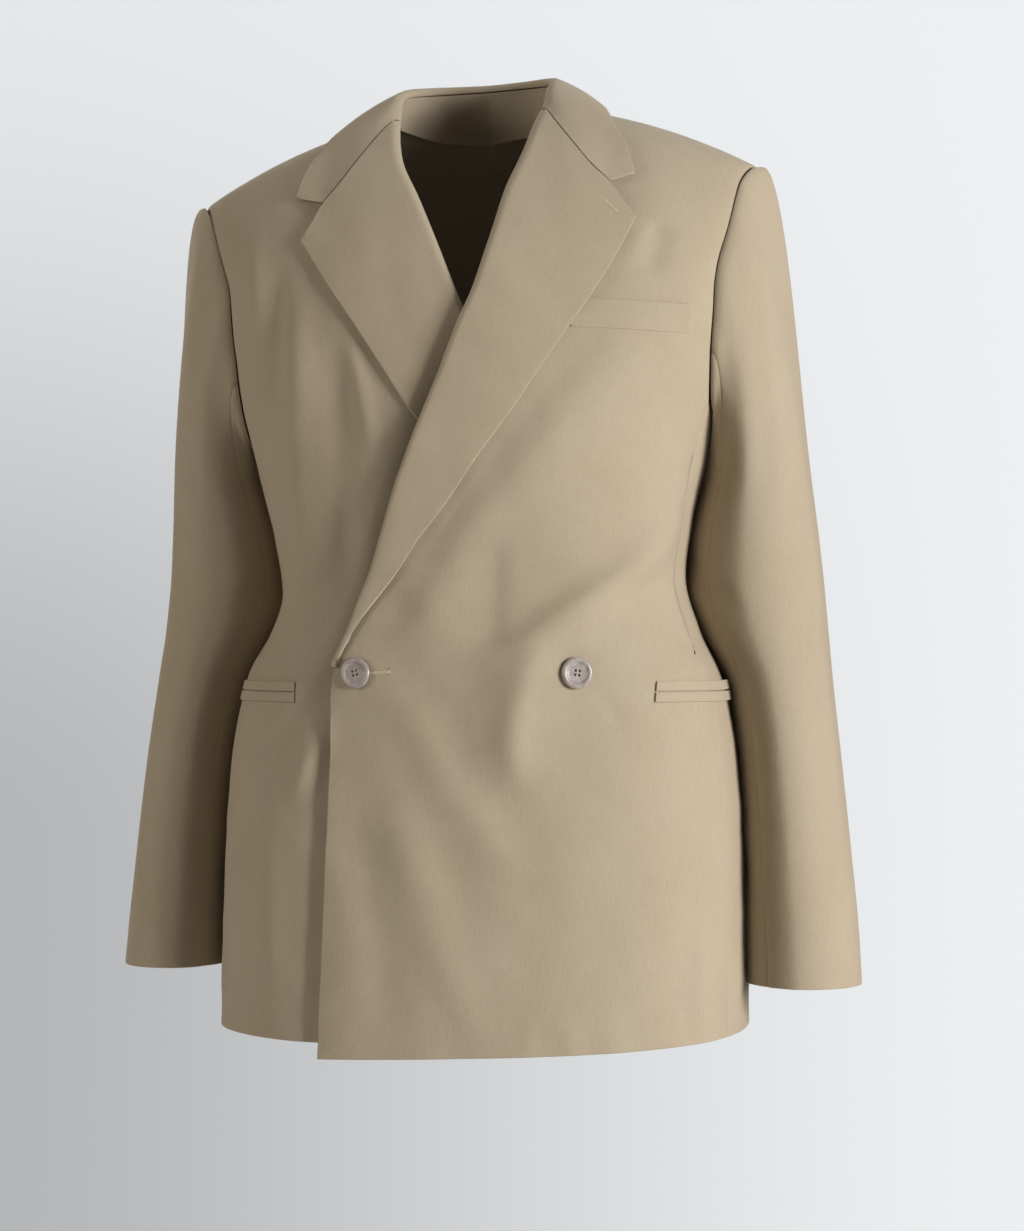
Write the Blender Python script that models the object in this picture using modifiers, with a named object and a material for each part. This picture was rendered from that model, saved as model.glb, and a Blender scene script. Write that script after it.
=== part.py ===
"""Double breasted blazer, closed on its button, in the hollow form that it has when worn.

Every piece of cloth is a thin shell laid over one garment form. A place on the form is an
angle and a run: the angle turns from the side (0) to the centre front (90 degrees) or the
centre back (-90 degrees), and the run is measured down the cloth from the shoulder seam.
Lengths are metres, +Z is up, the front faces -Y and the wearer's left is +X.
"""

import math
from collections import namedtuple

import bmesh
import bpy
from mathutils import Vector

MM = 0.001
CLOTH_WALL = 2.0 * MM
JET_WALL = 1.6 * MM
SEAM_HALF = 0.25 * MM
RIDGE_HALF = 0.6 * MM
OVERLAP_CENTRE = 9 * MM
OVERLAP_TOP = -0.04
OVERLAP_FULL = -0.18
SHOULDER_TILT = 0.0526
TILT_BOTTOM = -0.46
TILT_FULL = -0.36
SHOULDER_SWAY = -5 * MM
SWAY_BOTTOM = -0.12
UNDER_LAYER = 3.4 * MM
UNDER_LAPEL = 5.9 * MM
UNDER_LAPEL_FOOT = -0.520
UNDER_LAPEL_FULL = -0.440
LAYER_FADE_OUT = 78 * MM
LAYER_FADE_MORE = 45 * MM
LAYER_FADE_IN = 6 * MM
TUCK = 5 * MM
TUCK_WIDE = 24 * MM
TUCK_TOP = -0.15
TUCK_FULL = -0.25
TUCK_LOW = -0.43
TUCK_END = -0.49
TUCK_REST = 0.3
CALM = 0.85
CALM_BOTTOM = -0.47
CALM_BOTTOM_END = -0.43
CALM_TOP = -0.08
CALM_TOP_END = -0.12
CALM_BEFORE = 4 * MM
CALM_WIDE = 20 * MM
SEARCH_STEPS = 26
NORMAL_RUN = 6 * MM
NORMAL_ANGLE = 4.0
NORMAL_TURN = 0.5
NORMAL_STEP = 2 * MM
SHOULDER_ROW = 0.9

# The garment form, from the shoulder seam down to below the hem. "drop" is how far the
# side of a section lies below its centre, and "corner" is its superellipse power.
Section = namedtuple("Section", "run level half front back corner drop")
SECTIONS = [
    Section(0.000, 0.0060, 0.2290, 0.0000, 0.0000, 2.6, -0.0652),
    Section(0.012, 0.0055, 0.2298, 0.0120, 0.0130, 2.7, -0.0652),
    Section(0.024, 0.0030, 0.2305, 0.0235, 0.0260, 2.8, -0.0647),
    Section(0.040, -0.0040, 0.2306, 0.0380, 0.0430, 2.8, -0.0615),
    Section(0.060, -0.0160, 0.2305, 0.0535, 0.0600, 2.8, -0.0580),
    Section(0.085, -0.0340, 0.2290, 0.0700, 0.0760, 2.8, -0.0500),
    Section(0.115, -0.0575, 0.2260, 0.0860, 0.0900, 2.75, -0.0380),
    Section(0.150, -0.0890, 0.2220, 0.1025, 0.1050, 2.7, -0.0240),
    Section(0.190, -0.1250, 0.2165, 0.1165, 0.1180, 2.6, -0.0110),
    Section(0.235, -0.1680, 0.2115, 0.1280, 0.1260, 2.5, -0.0030),
    Section(0.282, -0.2145, 0.2020, 0.1360, 0.1285, 2.45, 0.0),
    Section(0.325, -0.2560, 0.1900, 0.1400, 0.1260, 2.4, 0.0),
    Section(0.366, -0.2970, 0.1800, 0.1410, 0.1190, 2.4, 0.0),
    Section(0.414, -0.3450, 0.1680, 0.1360, 0.1090, 2.4, 0.0),
    Section(0.455, -0.3850, 0.1630, 0.1300, 0.1030, 2.4, 0.0),
    Section(0.490, -0.4200, 0.1740, 0.1310, 0.1060, 2.4, 0.0),
    Section(0.531, -0.4610, 0.1940, 0.1350, 0.1150, 2.4, 0.0),
    Section(0.597, -0.5260, 0.2065, 0.1420, 0.1300, 2.4, 0.0),
    Section(0.711, -0.6400, 0.2130, 0.1490, 0.1400, 2.4, 0.0),
    Section(0.831, -0.7600, 0.2150, 0.1530, 0.1430, 2.4, 0.0),
]

# Half of the armhole, from its lowest point to the shoulder seam.
Armhole = namedtuple("Armhole", "along run front_angle back_angle")
ARMHOLE = [
    Armhole(0.00, 0.331, 0.0, 0.0),
    Armhole(0.07, 0.327, 6.0, 6.0),
    Armhole(0.14, 0.315, 12.0, 12.0),
    Armhole(0.24, 0.290, 17.5, 17.5),
    Armhole(0.36, 0.255, 21.5, 22.0),
    Armhole(0.50, 0.210, 23.3, 24.5),
    Armhole(0.64, 0.162, 21.8, 24.0),
    Armhole(0.78, 0.112, 20.2, 22.0),
    Armhole(0.88, 0.070, 19.0, 19.5),
    Armhole(0.95, 0.034, 13.5, 13.5),
    Armhole(1.00, 0.000, 0.0, 0.0),
]
SEAM_AT_ARMHOLE = 0.14

# Front-to-side and side-to-back seams, from the armhole to the hem.
SideSeam = namedtuple("SideSeam", "run front_angle back_angle")
SIDE_SEAMS = [
    SideSeam(0.315, 12.0, 12.0),
    SideSeam(0.375, 13.3, 15.5),
    SideSeam(0.455, 15.0, 20.0),
    SideSeam(0.580, 16.0, 22.0),
    SideSeam(0.831, 17.0, 24.0),
]

# How far the front edge, and above it the roll line, passes the centre of the overlap.
FrontEdge = namedtuple("FrontEdge", "height reach")
FRONT_EDGE = [
    FrontEdge(0.0000, -0.0650),
    FrontEdge(-0.0100, -0.0620),
    FrontEdge(-0.0443, -0.0540),
    FrontEdge(-0.0765, -0.0405),
    FrontEdge(-0.1207, -0.0250),
    FrontEdge(-0.1590, -0.0112),
    FrontEdge(-0.1843, 0.0000),
    FrontEdge(-0.2242, 0.0148),
    FrontEdge(-0.2646, 0.0317),
    FrontEdge(-0.3080, 0.0482),
    FrontEdge(-0.3646, 0.0670),
    FrontEdge(-0.3920, 0.0775),
    FrontEdge(-0.4170, 0.0865),
    FrontEdge(-0.4445, 0.0985),
    FrontEdge(-0.4560, 0.1040),
    FrontEdge(-0.4740, 0.1065),
    FrontEdge(-0.5210, 0.1075),
    FrontEdge(-0.6310, 0.1110),
    FrontEdge(-0.7600, 0.1155),
]
BREAK_HEIGHT = -0.4445
ROLL_TOP = -0.0085
NECK_ANGLE = 71.4
BREAK_ROW = 0.40
NECK_ROW = 0.955
HEM_OVER = -0.7560
HEM_UNDER = -0.7470
HEM_SIDE_RUN = 0.813
HEM_BACK_RUN = 0.808
ARMHOLE_ROW = 0.57
BACK_NECK_RUN = 0.056

# The lapel's outer edge, from the break up to the tip, and the height of the lapel above
# the front that it lies on, at its roll and at its edge, for the upper and the lower lapel.
Lapel = namedtuple("Lapel", "along reach height roll_over roll_under edge_over edge_under")
LAPEL = [
    Lapel(0.00, 0.0975, -0.4400, 3.6, 3.6, 3.4, 3.4),
    Lapel(0.08, 0.0800, -0.4107, 4.2, 4.6, 3.6, 4.3),
    Lapel(0.16, 0.0630, -0.3873, 4.8, 4.8, 3.8, 4.5),
    Lapel(0.28, 0.0355, -0.3477, 5.4, 4.8, 4.0, 4.3),
    Lapel(0.38, 0.0092, -0.3161, 5.8, 4.8, 4.2, 4.3),
    Lapel(0.48, -0.0162, -0.2814, 6.2, 4.6, 4.4, 4.2),
    Lapel(0.58, -0.0412, -0.2478, 6.4, 4.7, 4.6, 4.2),
    Lapel(0.69, -0.0647, -0.2121, 6.5, 4.9, 4.8, 4.4),
    Lapel(0.80, -0.0883, -0.1770, 6.5, 5.2, 5.2, 4.8),
    Lapel(0.90, -0.1130, -0.1395, 6.3, 5.6, 5.3, 5.0),
    Lapel(1.00, -0.1336, -0.1040, 6.0, 6.0, 5.3, 5.2),
]
LapelRim = namedtuple("LapelRim", "height reach")
LAPEL_RIM = [LapelRim(row.height, row.reach) for row in LAPEL]
LAPEL_FOOT = 6 * MM
ROLL_GAP = 1.2 * MM
RAIL_STEP = 0.01
NOTCH_SHARE = 0.714
NOTCH_RISE = 2.5 * MM
NOTCH_REACH = 0.12
NOTCH_ROW = 0.85
CURL_STEPS = 4
GORGE_GAP = 1.0 * MM

# Half of the collar, from its front end to the centre back. The neck seam and the outer
# edge lie on the form, where a run below zero is on the back, and the roll stands free.
Collar = namedtuple("Collar", "along neck_angle neck_run edge_angle edge_run roll_x roll_y roll_z")
COLLAR = [
    Collar(0.00, 74.3, 0.050, 52.6, 0.1090, 0.0600, -0.0455, -0.0050),
    Collar(0.13, 73.6, 0.036, 55.0, 0.0810, 0.0612, -0.0330, 0.0050),
    Collar(0.26, 72.6, 0.020, 58.5, 0.0570, 0.0618, -0.0190, 0.0135),
    Collar(0.38, 71.6, 0.004, 61.6, 0.0290, 0.0615, -0.0040, 0.0195),
    Collar(0.50, 71.9, -0.012, 64.0, 0.0000, 0.0595, 0.0110, 0.0235),
    Collar(0.62, 73.5, -0.0255, 67.5, -0.0260, 0.0535, 0.0245, 0.0260),
    Collar(0.80, 80.0, -0.047, 75.5, -0.0540, 0.0345, 0.0400, 0.0280),
    Collar(1.00, 90.0, -0.056, 90.0, -0.0700, 0.0000, 0.0470, 0.0285),
]
COLLAR_EDGE_LIFT = 5.2 * MM
COLLAR_CURL = 3.0 * MM
COLLAR_BULGE = 2.5 * MM
COLLAR_OUT_RISE = 0.03
COLLAR_NOTCH_SHARE = 0.8
GORGE_REACH = 0.30
GORGE_START = 0.2
STAND_START = 0.11
STAND_INSET = 3.2 * MM
STAND_RISE = 1.2 * MM
STAND_TOP_GAP = 1.2 * MM
COLLAR_CLEARANCE = 3.8 * MM
COLLAR_LOWEST_RUN = 0.235

# Sleeve tube below the cap: its inner and outer line, its middle and depth along Y, and
# how many millimetres nearer the body the inner line of the left sleeve hangs.
Ring = namedtuple("Ring", "height inner outer middle depth near")
SLEEVE_RINGS = [
    Ring(-0.300, 0.1860, 0.2640, 0.030, 0.0660, 5.0),
    Ring(-0.345, 0.1720, 0.2690, 0.040, 0.0655, 4.5),
    Ring(-0.385, 0.1665, 0.2730, 0.045, 0.0640, 3.2),
    Ring(-0.420, 0.1780, 0.2763, 0.044, 0.0620, 3.0),
    Ring(-0.461, 0.1995, 0.2805, 0.038, 0.0600, -0.5),
    Ring(-0.526, 0.2130, 0.2880, 0.028, 0.0570, 2.5),
    Ring(-0.605, 0.2180, 0.2965, 0.015, 0.0545, 4.0),
    Ring(-0.660, 0.2190, 0.3020, 0.007, 0.0525, 4.3),
    Ring(-0.705, 0.2195, 0.3050, 0.000, 0.0505, 4.0),
]
CUFF_SWAY = 2 * MM
CUFF_SWAY_TOP = -0.45
CUFF_HEIGHT = {1: -0.7045, -1: -0.6965}
CAP_SHARE = 0.42
CAP_PUSH_TOP = 0.055
CAP_PUSH_BOTTOM = 0.010
CAP_PUSH_SIDES = 0.012
CAP_PUSH_FORE = 4.0
CAP_PUSH_DOWN = 0.25
CAP_PULL = 0.24
CAP_PULL_OUT = 0.02
CAP_PULL_BOTTOM = 0.2
CAP_LIFT = 2.0 * MM
CAP_LIFT_FLAT = 1.7 * MM
CAP_FLAT_SHARE = 0.4
CAP_LIFT_TIP = -1.5 * MM
CAP_OUT_TIP = 3.4 * MM
CAP_TIP_SHARE = 0.84
SLEEVE_FOLD_START = 0.12
FRONT_SLEEVE_SEAM = 128.0
BACK_SLEEVE_SEAM = 242.0
SLEEVE_SEAM_HALF = 0.7

# Folds: a line from one end to the other, bowed sideways, with its half width and its
# height above the form, in millimetres. Below zero it is a trough, and a fold that leans
# is steeper on one side.
Fold = namedtuple("Fold", "x0 z0 x1 z1 bow spread rise lean", defaults=[0.0])
FRONT_FOLDS = [
    Fold(0.187, -0.295, 0.062, -0.439, 0.008, 24.0, 5.0, -0.30),
    Fold(0.171, -0.327, 0.035, -0.443, 0.009, 15.0, 7.6, 0.15),
    Fold(0.060, -0.427, 0.043, -0.544, -0.004, 34.0, 8.0, -0.05),
    Fold(0.067, -0.431, 0.049, -0.536, -0.006, 12.0, 3.8, -0.10),
    Fold(0.148, -0.185, 0.025, -0.337, 0.0, 25.0, 4.6, 0.10),
    Fold(0.037, -0.310, -0.031, -0.435, -0.006, 20.0, 4.0, 0.10),
    Fold(0.108, -0.201, -0.027, -0.365, -0.004, 18.0, -1.8, 0.0),
    Fold(0.032, -0.341, 0.030, -0.435, 0.0, 15.0, -2.6, -0.30),
    Fold(-0.052, -0.465, 0.056, -0.621, 0.0, 19.0, 3.4, -0.05),
    Fold(-0.044, -0.544, 0.021, -0.739, -0.004, 20.0, 3.2, 0.0),
    Fold(-0.081, -0.505, -0.046, -0.747, 0.0, 17.0, -1.9, 0.0),
    Fold(0.187, -0.653, 0.189, -0.755, 0.0, 13.0, 3.0, 0.40),
    Fold(0.108, -0.465, 0.130, -0.497, 0.0, 7.0, -1.0, 0.0),
    Fold(0.158, -0.104, 0.150, -0.149, 0.0, 12.0, -3.0, 0.0),
    Fold(0.062, -0.715, 0.062, -0.775, 0.0, 7.0, 0.8, 0.0),
    Fold(0.092, -0.720, 0.094, -0.775, 0.0, 8.0, 0.9, 0.0),
    Fold(0.124, -0.705, 0.126, -0.775, 0.0, 9.0, 1.0, 0.0),
    Fold(-0.172, -0.096, -0.169, -0.170, 0.0, 10.0, 3.0, 0.0),
    Fold(-0.150, -0.115, -0.147, -0.235, 0.0, 10.0, -3.0, 0.0),
    Fold(-0.131, -0.140, -0.129, -0.430, 0.0, 15.0, 4.6, 0.0),
    Fold(-0.091, -0.190, -0.092, -0.400, 0.0, 13.0, -3.8, 0.0),
    Fold(-0.087, -0.182, -0.062, -0.277, 0.0, 9.0, 3.2, 0.0),
    Fold(-0.100, -0.489, -0.135, -0.558, 0.0, 10.0, 3.0, 0.0),
    Fold(-0.101, -0.464, -0.176, -0.535, 0.0, 10.0, -3.2, 0.0),
    Fold(-0.153, -0.535, -0.150, -0.725, 0.0, 14.0, 2.6, 0.0),
]
BACK_FOLDS = [
    Fold(-0.158, -0.120, -0.150, -0.280, 0.004, 13.0, 4.0),
    Fold(0.160, -0.115, 0.151, -0.290, -0.004, 13.0, 4.0),
    Fold(-0.135, -0.330, -0.035, -0.392, 0.006, 10.0, -3.0),
    Fold(0.140, -0.322, 0.040, -0.386, -0.006, 10.0, -3.0),
    Fold(-0.120, -0.375, -0.030, -0.425, 0.004, 9.0, 2.5),
    Fold(0.125, -0.368, 0.035, -0.420, -0.004, 9.0, 2.5),
    Fold(-0.060, -0.470, -0.085, -0.720, 0.010, 17.0, -4.0),
    Fold(0.070, -0.480, 0.095, -0.720, -0.010, 17.0, -4.0),
    Fold(0.000, -0.110, 0.000, -0.240, 0.0, 20.0, -2.0),
]
FOLD_SIDE_START = 8.0
FOLD_SIDE_FULL = 26.0
FOLD_END_SHARE = 0.28
FOLD_OVERRUN = 0.1

# Folds of a sleeve: the angle round the tube and the height of each end.
SleeveFold = namedtuple("SleeveFold", "angle0 z0 angle1 z1 spread rise")
SLEEVE_FOLDS = [
    SleeveFold(165.0, -0.350, 85.0, -0.405, 10.0, -3.5),
    SleeveFold(170.0, -0.385, 95.0, -0.445, 10.0, 2.5),
    SleeveFold(60.0, -0.130, 75.0, -0.330, 14.0, -2.5),
    SleeveFold(25.0, -0.160, 30.0, -0.640, 13.0, 2.5),
    SleeveFold(290.0, -0.140, 280.0, -0.330, 14.0, -3.0),
    SleeveFold(200.0, -0.540, 150.0, -0.640, 12.0, -2.0),
]
SLEEVE_RADIUS = 0.052

WELT_START = 0.090
WELT_END = 0.178
WELT_TOP_START = -0.1655
WELT_TOP_END = -0.1725
WELT_TALL = 0.0232
WELT_LIFT = 2.5 * MM
POCKET_REACH = 0.1415
POCKET_LENGTH_ANGLE = 43.0
POCKET_HEIGHT = -0.4610
JET_TALL = 7.6 * MM
JET_GAP = 0.4 * MM
JET_LIFT = 2.4 * MM
BUTTON_REACH = 0.0847
BUTTON_HEIGHT = -0.4545
BUTTON_GAP = 0.6 * MM
BUTTON_RADIUS = 12.5 * MM
BUTTON_HOLE_RADIUS = 1.05 * MM
BUTTON_HOLE_OFFSET = 2.3 * MM
BUTTON_HOLES = 4
BUTTON_HOLE_TURN = math.pi / 4
BUTTON_HOLE_STEPS = 10
DRILL_LENGTH = 12 * MM
BUTTON_PROFILE_MM = [
    (10.4, 0.0),
    (12.1, 0.8),
    (12.5, 1.9),
    (12.1, 3.0),
    (11.1, 3.5),
    (9.9, 3.2),
    (8.9, 2.5),
    (0.0, 2.2),
]
BUTTON_TURN_STEPS = 32
MERGE_DISTANCE = 0.01 * MM

HALF_GRID = 0.5
GRID_FRONT = (21, 29)
GRID_BACK = (12, 22)
GRID_SIDE = (5, 22)
GRID_LAPEL = (11, 22)
GRID_COLLAR = (30, 9)
GRID_STAND = (24, 3)
GRID_TOP_SLEEVE = (14, 16)
GRID_UNDER_SLEEVE = (6, 16)
GRID_WELT = (8, 2)
GRID_JET = (12, 1)

CLOTH_COLOUR = (0.435, 0.371, 0.270)
CLOTH_ROUGHNESS = 0.85
BUTTON_COLOUR = (0.330, 0.285, 0.262)
BUTTON_ROUGHNESS = 0.35


def mix(a, b, share):
    return a + (b - a) * share


def arch(share):
    """A hump that is 0 at both ends and 1 in the middle."""
    return 4.0 * share * (1.0 - share)


def curve_through(start, start_way, end, end_way, t):
    """A cubic between two points or numbers with a given way out of each."""
    point = start * (2 * t**3 - 3 * t**2 + 1) + end * (3 * t**2 - 2 * t**3)
    return point + start_way * (t**3 - 2 * t**2 + t) + end_way * (t**3 - t**2)


def ease(start, end, value):
    share = min(1.0, max(0.0, (value - start) / (end - start)))
    return share * share * (3.0 - 2.0 * share)


def look_up(rows, column, value):
    """Reads a column at a value of the first column, on a curve without overshoot."""
    keys = [row[0] for row in rows]
    vals = [getattr(row, column) for row in rows]
    if keys[0] > keys[-1]:
        keys.reverse()
        vals.reverse()
    if value <= keys[0]:
        return vals[0]
    if value >= keys[-1]:
        return vals[-1]
    steps = [(vals[i + 1] - vals[i]) / (keys[i + 1] - keys[i]) for i in range(len(keys) - 1)]
    slopes = [steps[0]]
    for before, after in zip(steps, steps[1:]):
        slopes.append(2.0 * before * after / (before + after) if before * after > 0 else 0.0)
    slopes.append(steps[-1])
    i = max(k for k in range(len(keys) - 1) if keys[k] <= value)
    width = keys[i + 1] - keys[i]
    share = (value - keys[i]) / width
    return curve_through(vals[i], width * slopes[i], vals[i + 1], width * slopes[i + 1], share)


def posture(point, level):
    """The wearer's left shoulder is carried higher, and both shoulders sway to the right."""
    lean = SHOULDER_TILT * point.x * ease(TILT_BOTTOM, TILT_FULL, level)
    sway = SHOULDER_SWAY * ease(SWAY_BOTTOM, 0.0, level)
    return point + Vector((sway, 0.0, lean))


def form_point(angle, run):
    """The point of the garment form at an angle in degrees and a run, on the +X side."""
    turn = math.radians(angle)
    across = math.cos(turn)
    depth = look_up(SECTIONS, "front" if angle >= 0 else "back", run)
    corner = look_up(SECTIONS, "corner", run)
    out = depth * max(0.0, 1.0 - abs(across) ** corner) ** (1.0 / corner)
    level = look_up(SECTIONS, "level", run)
    x = look_up(SECTIONS, "half", run) * across
    z = level + look_up(SECTIONS, "drop", run) * across**2
    return Vector((x, -out if angle >= 0 else out, z))


def form_normal(angle, run):
    run = max(run, NORMAL_RUN)
    if abs(angle) < NORMAL_ANGLE:
        angle = NORMAL_ANGLE if angle >= 0 else -NORMAL_ANGLE
    along = form_point(angle + NORMAL_TURN, run) - form_point(angle - NORMAL_TURN, run)
    down = form_point(angle, run + NORMAL_STEP) - form_point(angle, run - NORMAL_STEP)
    return along.cross(down).normalized()


def form_place(x, z, back=False):
    """The angle and run of the form at a sideways distance and a height."""
    low, high = SECTIONS[0].run, SECTIONS[-1].run
    for _ in range(SEARCH_STEPS):
        run = (low + high) / 2
        across = min(1.0, abs(x) / look_up(SECTIONS, "half", run))
        height = look_up(SECTIONS, "level", run) + look_up(SECTIONS, "drop", run) * across**2
        if height > z:
            low = run
        else:
            high = run
    angle = math.degrees(math.acos(min(1.0, abs(x) / look_up(SECTIONS, "half", run))))
    return (-angle if back else angle), run


def fold_taper(share):
    far = 1.0 - share
    return ease(-FOLD_OVERRUN, FOLD_END_SHARE, share) * ease(-FOLD_OVERRUN, FOLD_END_SHARE, far)


def fold_rise(x, z, folds):
    rise = 0.0
    for fold in folds:
        way = Vector((fold.x1 - fold.x0, fold.z1 - fold.z0))
        here = Vector((x - fold.x0, z - fold.z0))
        share = here.dot(way) / way.length_squared
        if not -FOLD_OVERRUN < share < 1.0 + FOLD_OVERRUN:
            continue
        side = (way.x * here.y - way.y * here.x) / way.length
        side -= fold.bow * arch(share)
        taper = fold_taper(share)
        spread = fold.spread * MM * (1.0 + math.copysign(fold.lean, side))
        rise += fold.rise * taper * math.exp(-((side / spread) ** 2))
    return rise * MM


def cloth_point(side, angle, run, lift=0.0, layer=1):
    """A point of the cloth: the form, its folds, and a lift off it, on one side of the body."""
    point = form_point(angle, run)
    normal = form_normal(angle, run)
    x = point.x * side
    folds = fold_rise(x, point.z, FRONT_FOLDS if angle >= 0 else BACK_FOLDS)
    if angle >= 0:
        folds *= under_lapels(x, point.z, layer)
    out = lift + folds * ease(FOLD_SIDE_START, FOLD_SIDE_FULL, abs(angle))
    level = look_up(SECTIONS, "level", run)
    moved = point + normal * out
    return posture(Vector((moved.x * side, moved.y, moved.z)), level)


def front_point(x, z, lift=0.0, layer=1):
    angle, run = form_place(x, z)
    return cloth_point(1 if x >= 0 else -1, angle, run, lift, layer)


def overlap_centre(z):
    return OVERLAP_CENTRE * ease(OVERLAP_TOP, OVERLAP_FULL, z)


def edge_x(side, z):
    """Where the front edge or roll line of a front lies: the left front reaches to -X."""
    return overlap_centre(z) - side * look_up(FRONT_EDGE, "reach", z)


def under_lapels(x, z, layer):
    """How much of a front's folds is left under its lapel, or under the other front's."""
    rest = 1.0
    along_lapel = ease(CALM_BOTTOM, CALM_BOTTOM_END, z) * ease(CALM_TOP, CALM_TOP_END, z)
    for side in (1,) if layer > 0 else (1, -1):
        past = (x - overlap_centre(z)) * side + look_up(LAPEL_RIM, "reach", z)
        short = (edge_x(side, z) - x) * side
        bare = max(ease(-CALM_BEFORE, CALM_WIDE, past), ease(0.0, CALM_WIDE, short))
        rest *= 1.0 - CALM * along_lapel * (1.0 - bare)
    return rest


def front_lift(side, x, z):
    """The left front lies over the right one, whose lapel sinks in beneath its edge."""
    if side < 0:
        sunk = ease(-TUCK_WIDE, 0.0, x - edge_x(1, z)) * ease(TUCK_TOP, TUCK_FULL, z)
        return -TUCK * sunk * mix(TUCK_REST, 1.0, ease(TUCK_END, TUCK_LOW, z))
    foot = ease(UNDER_LAPEL_FOOT, UNDER_LAPEL_FULL, z)
    beyond = x - edge_x(-1, z) - LAYER_FADE_IN
    over = ease(LAYER_FADE_OUT + LAYER_FADE_MORE * foot, 0.0, beyond)
    return over * (UNDER_LAYER + UNDER_LAPEL * foot)


def front_inner(side, row):
    """Angle, run of the front's inner edge, signed: below zero it has passed to the other side."""
    if row > NECK_ROW:
        share = (row - NECK_ROW) / (1.0 - NECK_ROW)
        x = edge_x(side, ROLL_TOP)
        angle, run = form_place(x, ROLL_TOP)
        return mix(angle, NECK_ANGLE, share), mix(run, 0.0, share)
    hem = HEM_OVER if side > 0 else HEM_UNDER
    if row < BREAK_ROW:
        z = mix(hem, BREAK_HEIGHT, row / BREAK_ROW)
    else:
        z = mix(BREAK_HEIGHT, ROLL_TOP, (row - BREAK_ROW) / (NECK_ROW - BREAK_ROW))
    x = edge_x(side, z)
    angle, run = form_place(x, z)
    return (180.0 - angle if x * side < 0 else angle), run


def armhole_place(along, back):
    angle = look_up(ARMHOLE, "back_angle" if back else "front_angle", along)
    return (-angle if back else angle), look_up(ARMHOLE, "run", along)


def seam_place(row, back):
    """The outer edge of a front or back: the side seam, and above it the armhole."""
    if row >= ARMHOLE_ROW:
        share = (row - ARMHOLE_ROW) / (1.0 - ARMHOLE_ROW)
        return armhole_place(mix(SEAM_AT_ARMHOLE, 1.0, share), back)
    hem = HEM_BACK_RUN if back else HEM_SIDE_RUN
    run = mix(hem, SIDE_SEAMS[0].run, row / ARMHOLE_ROW)
    angle = look_up(SIDE_SEAMS, "back_angle" if back else "front_angle", run)
    return (-angle if back else angle), run


def front_surface(side):
    def place(u, v):
        angle0, run0 = front_inner(side, v)
        angle1, run1 = seam_place(v, back=False)
        angle = mix(angle0, angle1, u)
        run = mix(run0, run1, u)
        own = side if angle <= 90.0 else -side
        angle = min(angle, 180.0 - angle)
        flat = form_point(angle, run)
        lift = front_lift(side, flat.x * own, flat.z)
        point = cloth_point(own, angle, run, lift, side)
        return point + Vector((0.0, -RIDGE_HALF * ease(SHOULDER_ROW, 1.0, v), 0.0))
    return place


def back_neck_run(angle):
    """How far the neck opening is cut down into the back, as a quarter of an ellipse."""
    share = math.cos(math.radians(angle)) / math.cos(math.radians(NECK_ANGLE))
    return BACK_NECK_RUN * math.sqrt(max(0.0, 1.0 - share**2))


def back_surface(side):
    def place(u, v):
        angle1, run1 = seam_place(v, back=True)
        angle = mix(-90.0, angle1, u)
        neck = back_neck_run(angle)
        run = mix(mix(HEM_BACK_RUN, neck, v), max(run1, neck), u)
        point = cloth_point(side, angle, run)
        shift = Vector((side * SEAM_HALF * (1.0 - u), RIDGE_HALF * ease(SHOULDER_ROW, 1.0, v), 0.0))
        return point + shift
    return place


def side_surface(side):
    def place(u, v):
        hem = mix(HEM_SIDE_RUN, HEM_BACK_RUN, u)
        along = SEAM_AT_ARMHOLE * abs(1.0 - 2.0 * u)
        top_run = look_up(ARMHOLE, "run", along)
        run = mix(hem, top_run, v)
        gap = math.degrees(2.0 * SEAM_HALF / look_up(SECTIONS, "half", run))
        front = look_up(SIDE_SEAMS, "front_angle", max(run, SIDE_SEAMS[0].run)) - gap * 2.0
        back = gap * 2.0 - look_up(SIDE_SEAMS, "back_angle", max(run, SIDE_SEAMS[0].run))
        angle = mix(front, back, u)
        return cloth_point(side, angle, run)
    return place


def lapel_rail(side, along):
    """Roll point and outer point of a lapel row, as sideways distance and height."""
    roll_z = mix(BREAK_HEIGHT - LAPEL_FOOT, ROLL_TOP, along)
    roll = Vector((edge_x(side, roll_z), roll_z))
    outer_z = look_up(LAPEL, "height", along)
    reach = look_up(LAPEL, "reach", along)
    outer = Vector((overlap_centre(outer_z) - side * reach, outer_z))
    return roll, outer


def lapel_lift(side, along, share):
    """Height of a lapel above the front that it lies on, from its roll (0) to its edge (1)."""
    layer = "over" if side > 0 else "under"
    rolled = look_up(LAPEL, "roll_" + layer, along) * MM
    edge = look_up(LAPEL, "edge_" + layer, along) * MM
    return mix(rolled, edge, ease(0.0, 1.0, share))


def lapel_point(side, along, share, rise=0.0):
    """A point of a lapel past its roll, raised across its row to make the notch."""
    roll, outer = lapel_rail(side, along)
    way = outer - roll
    bump = math.exp(-(((share - NOTCH_SHARE) / NOTCH_REACH) ** 2)) * ease(NOTCH_ROW, 1.0, along)
    across = Vector((-way.y, way.x)).normalized() * side
    spot = roll + way * share + across * (NOTCH_RISE * bump + rise)
    lift = lapel_lift(side, along, share)
    return front_point(spot.x, spot.y, lift + front_lift(side, spot.x, spot.y), side)


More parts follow.
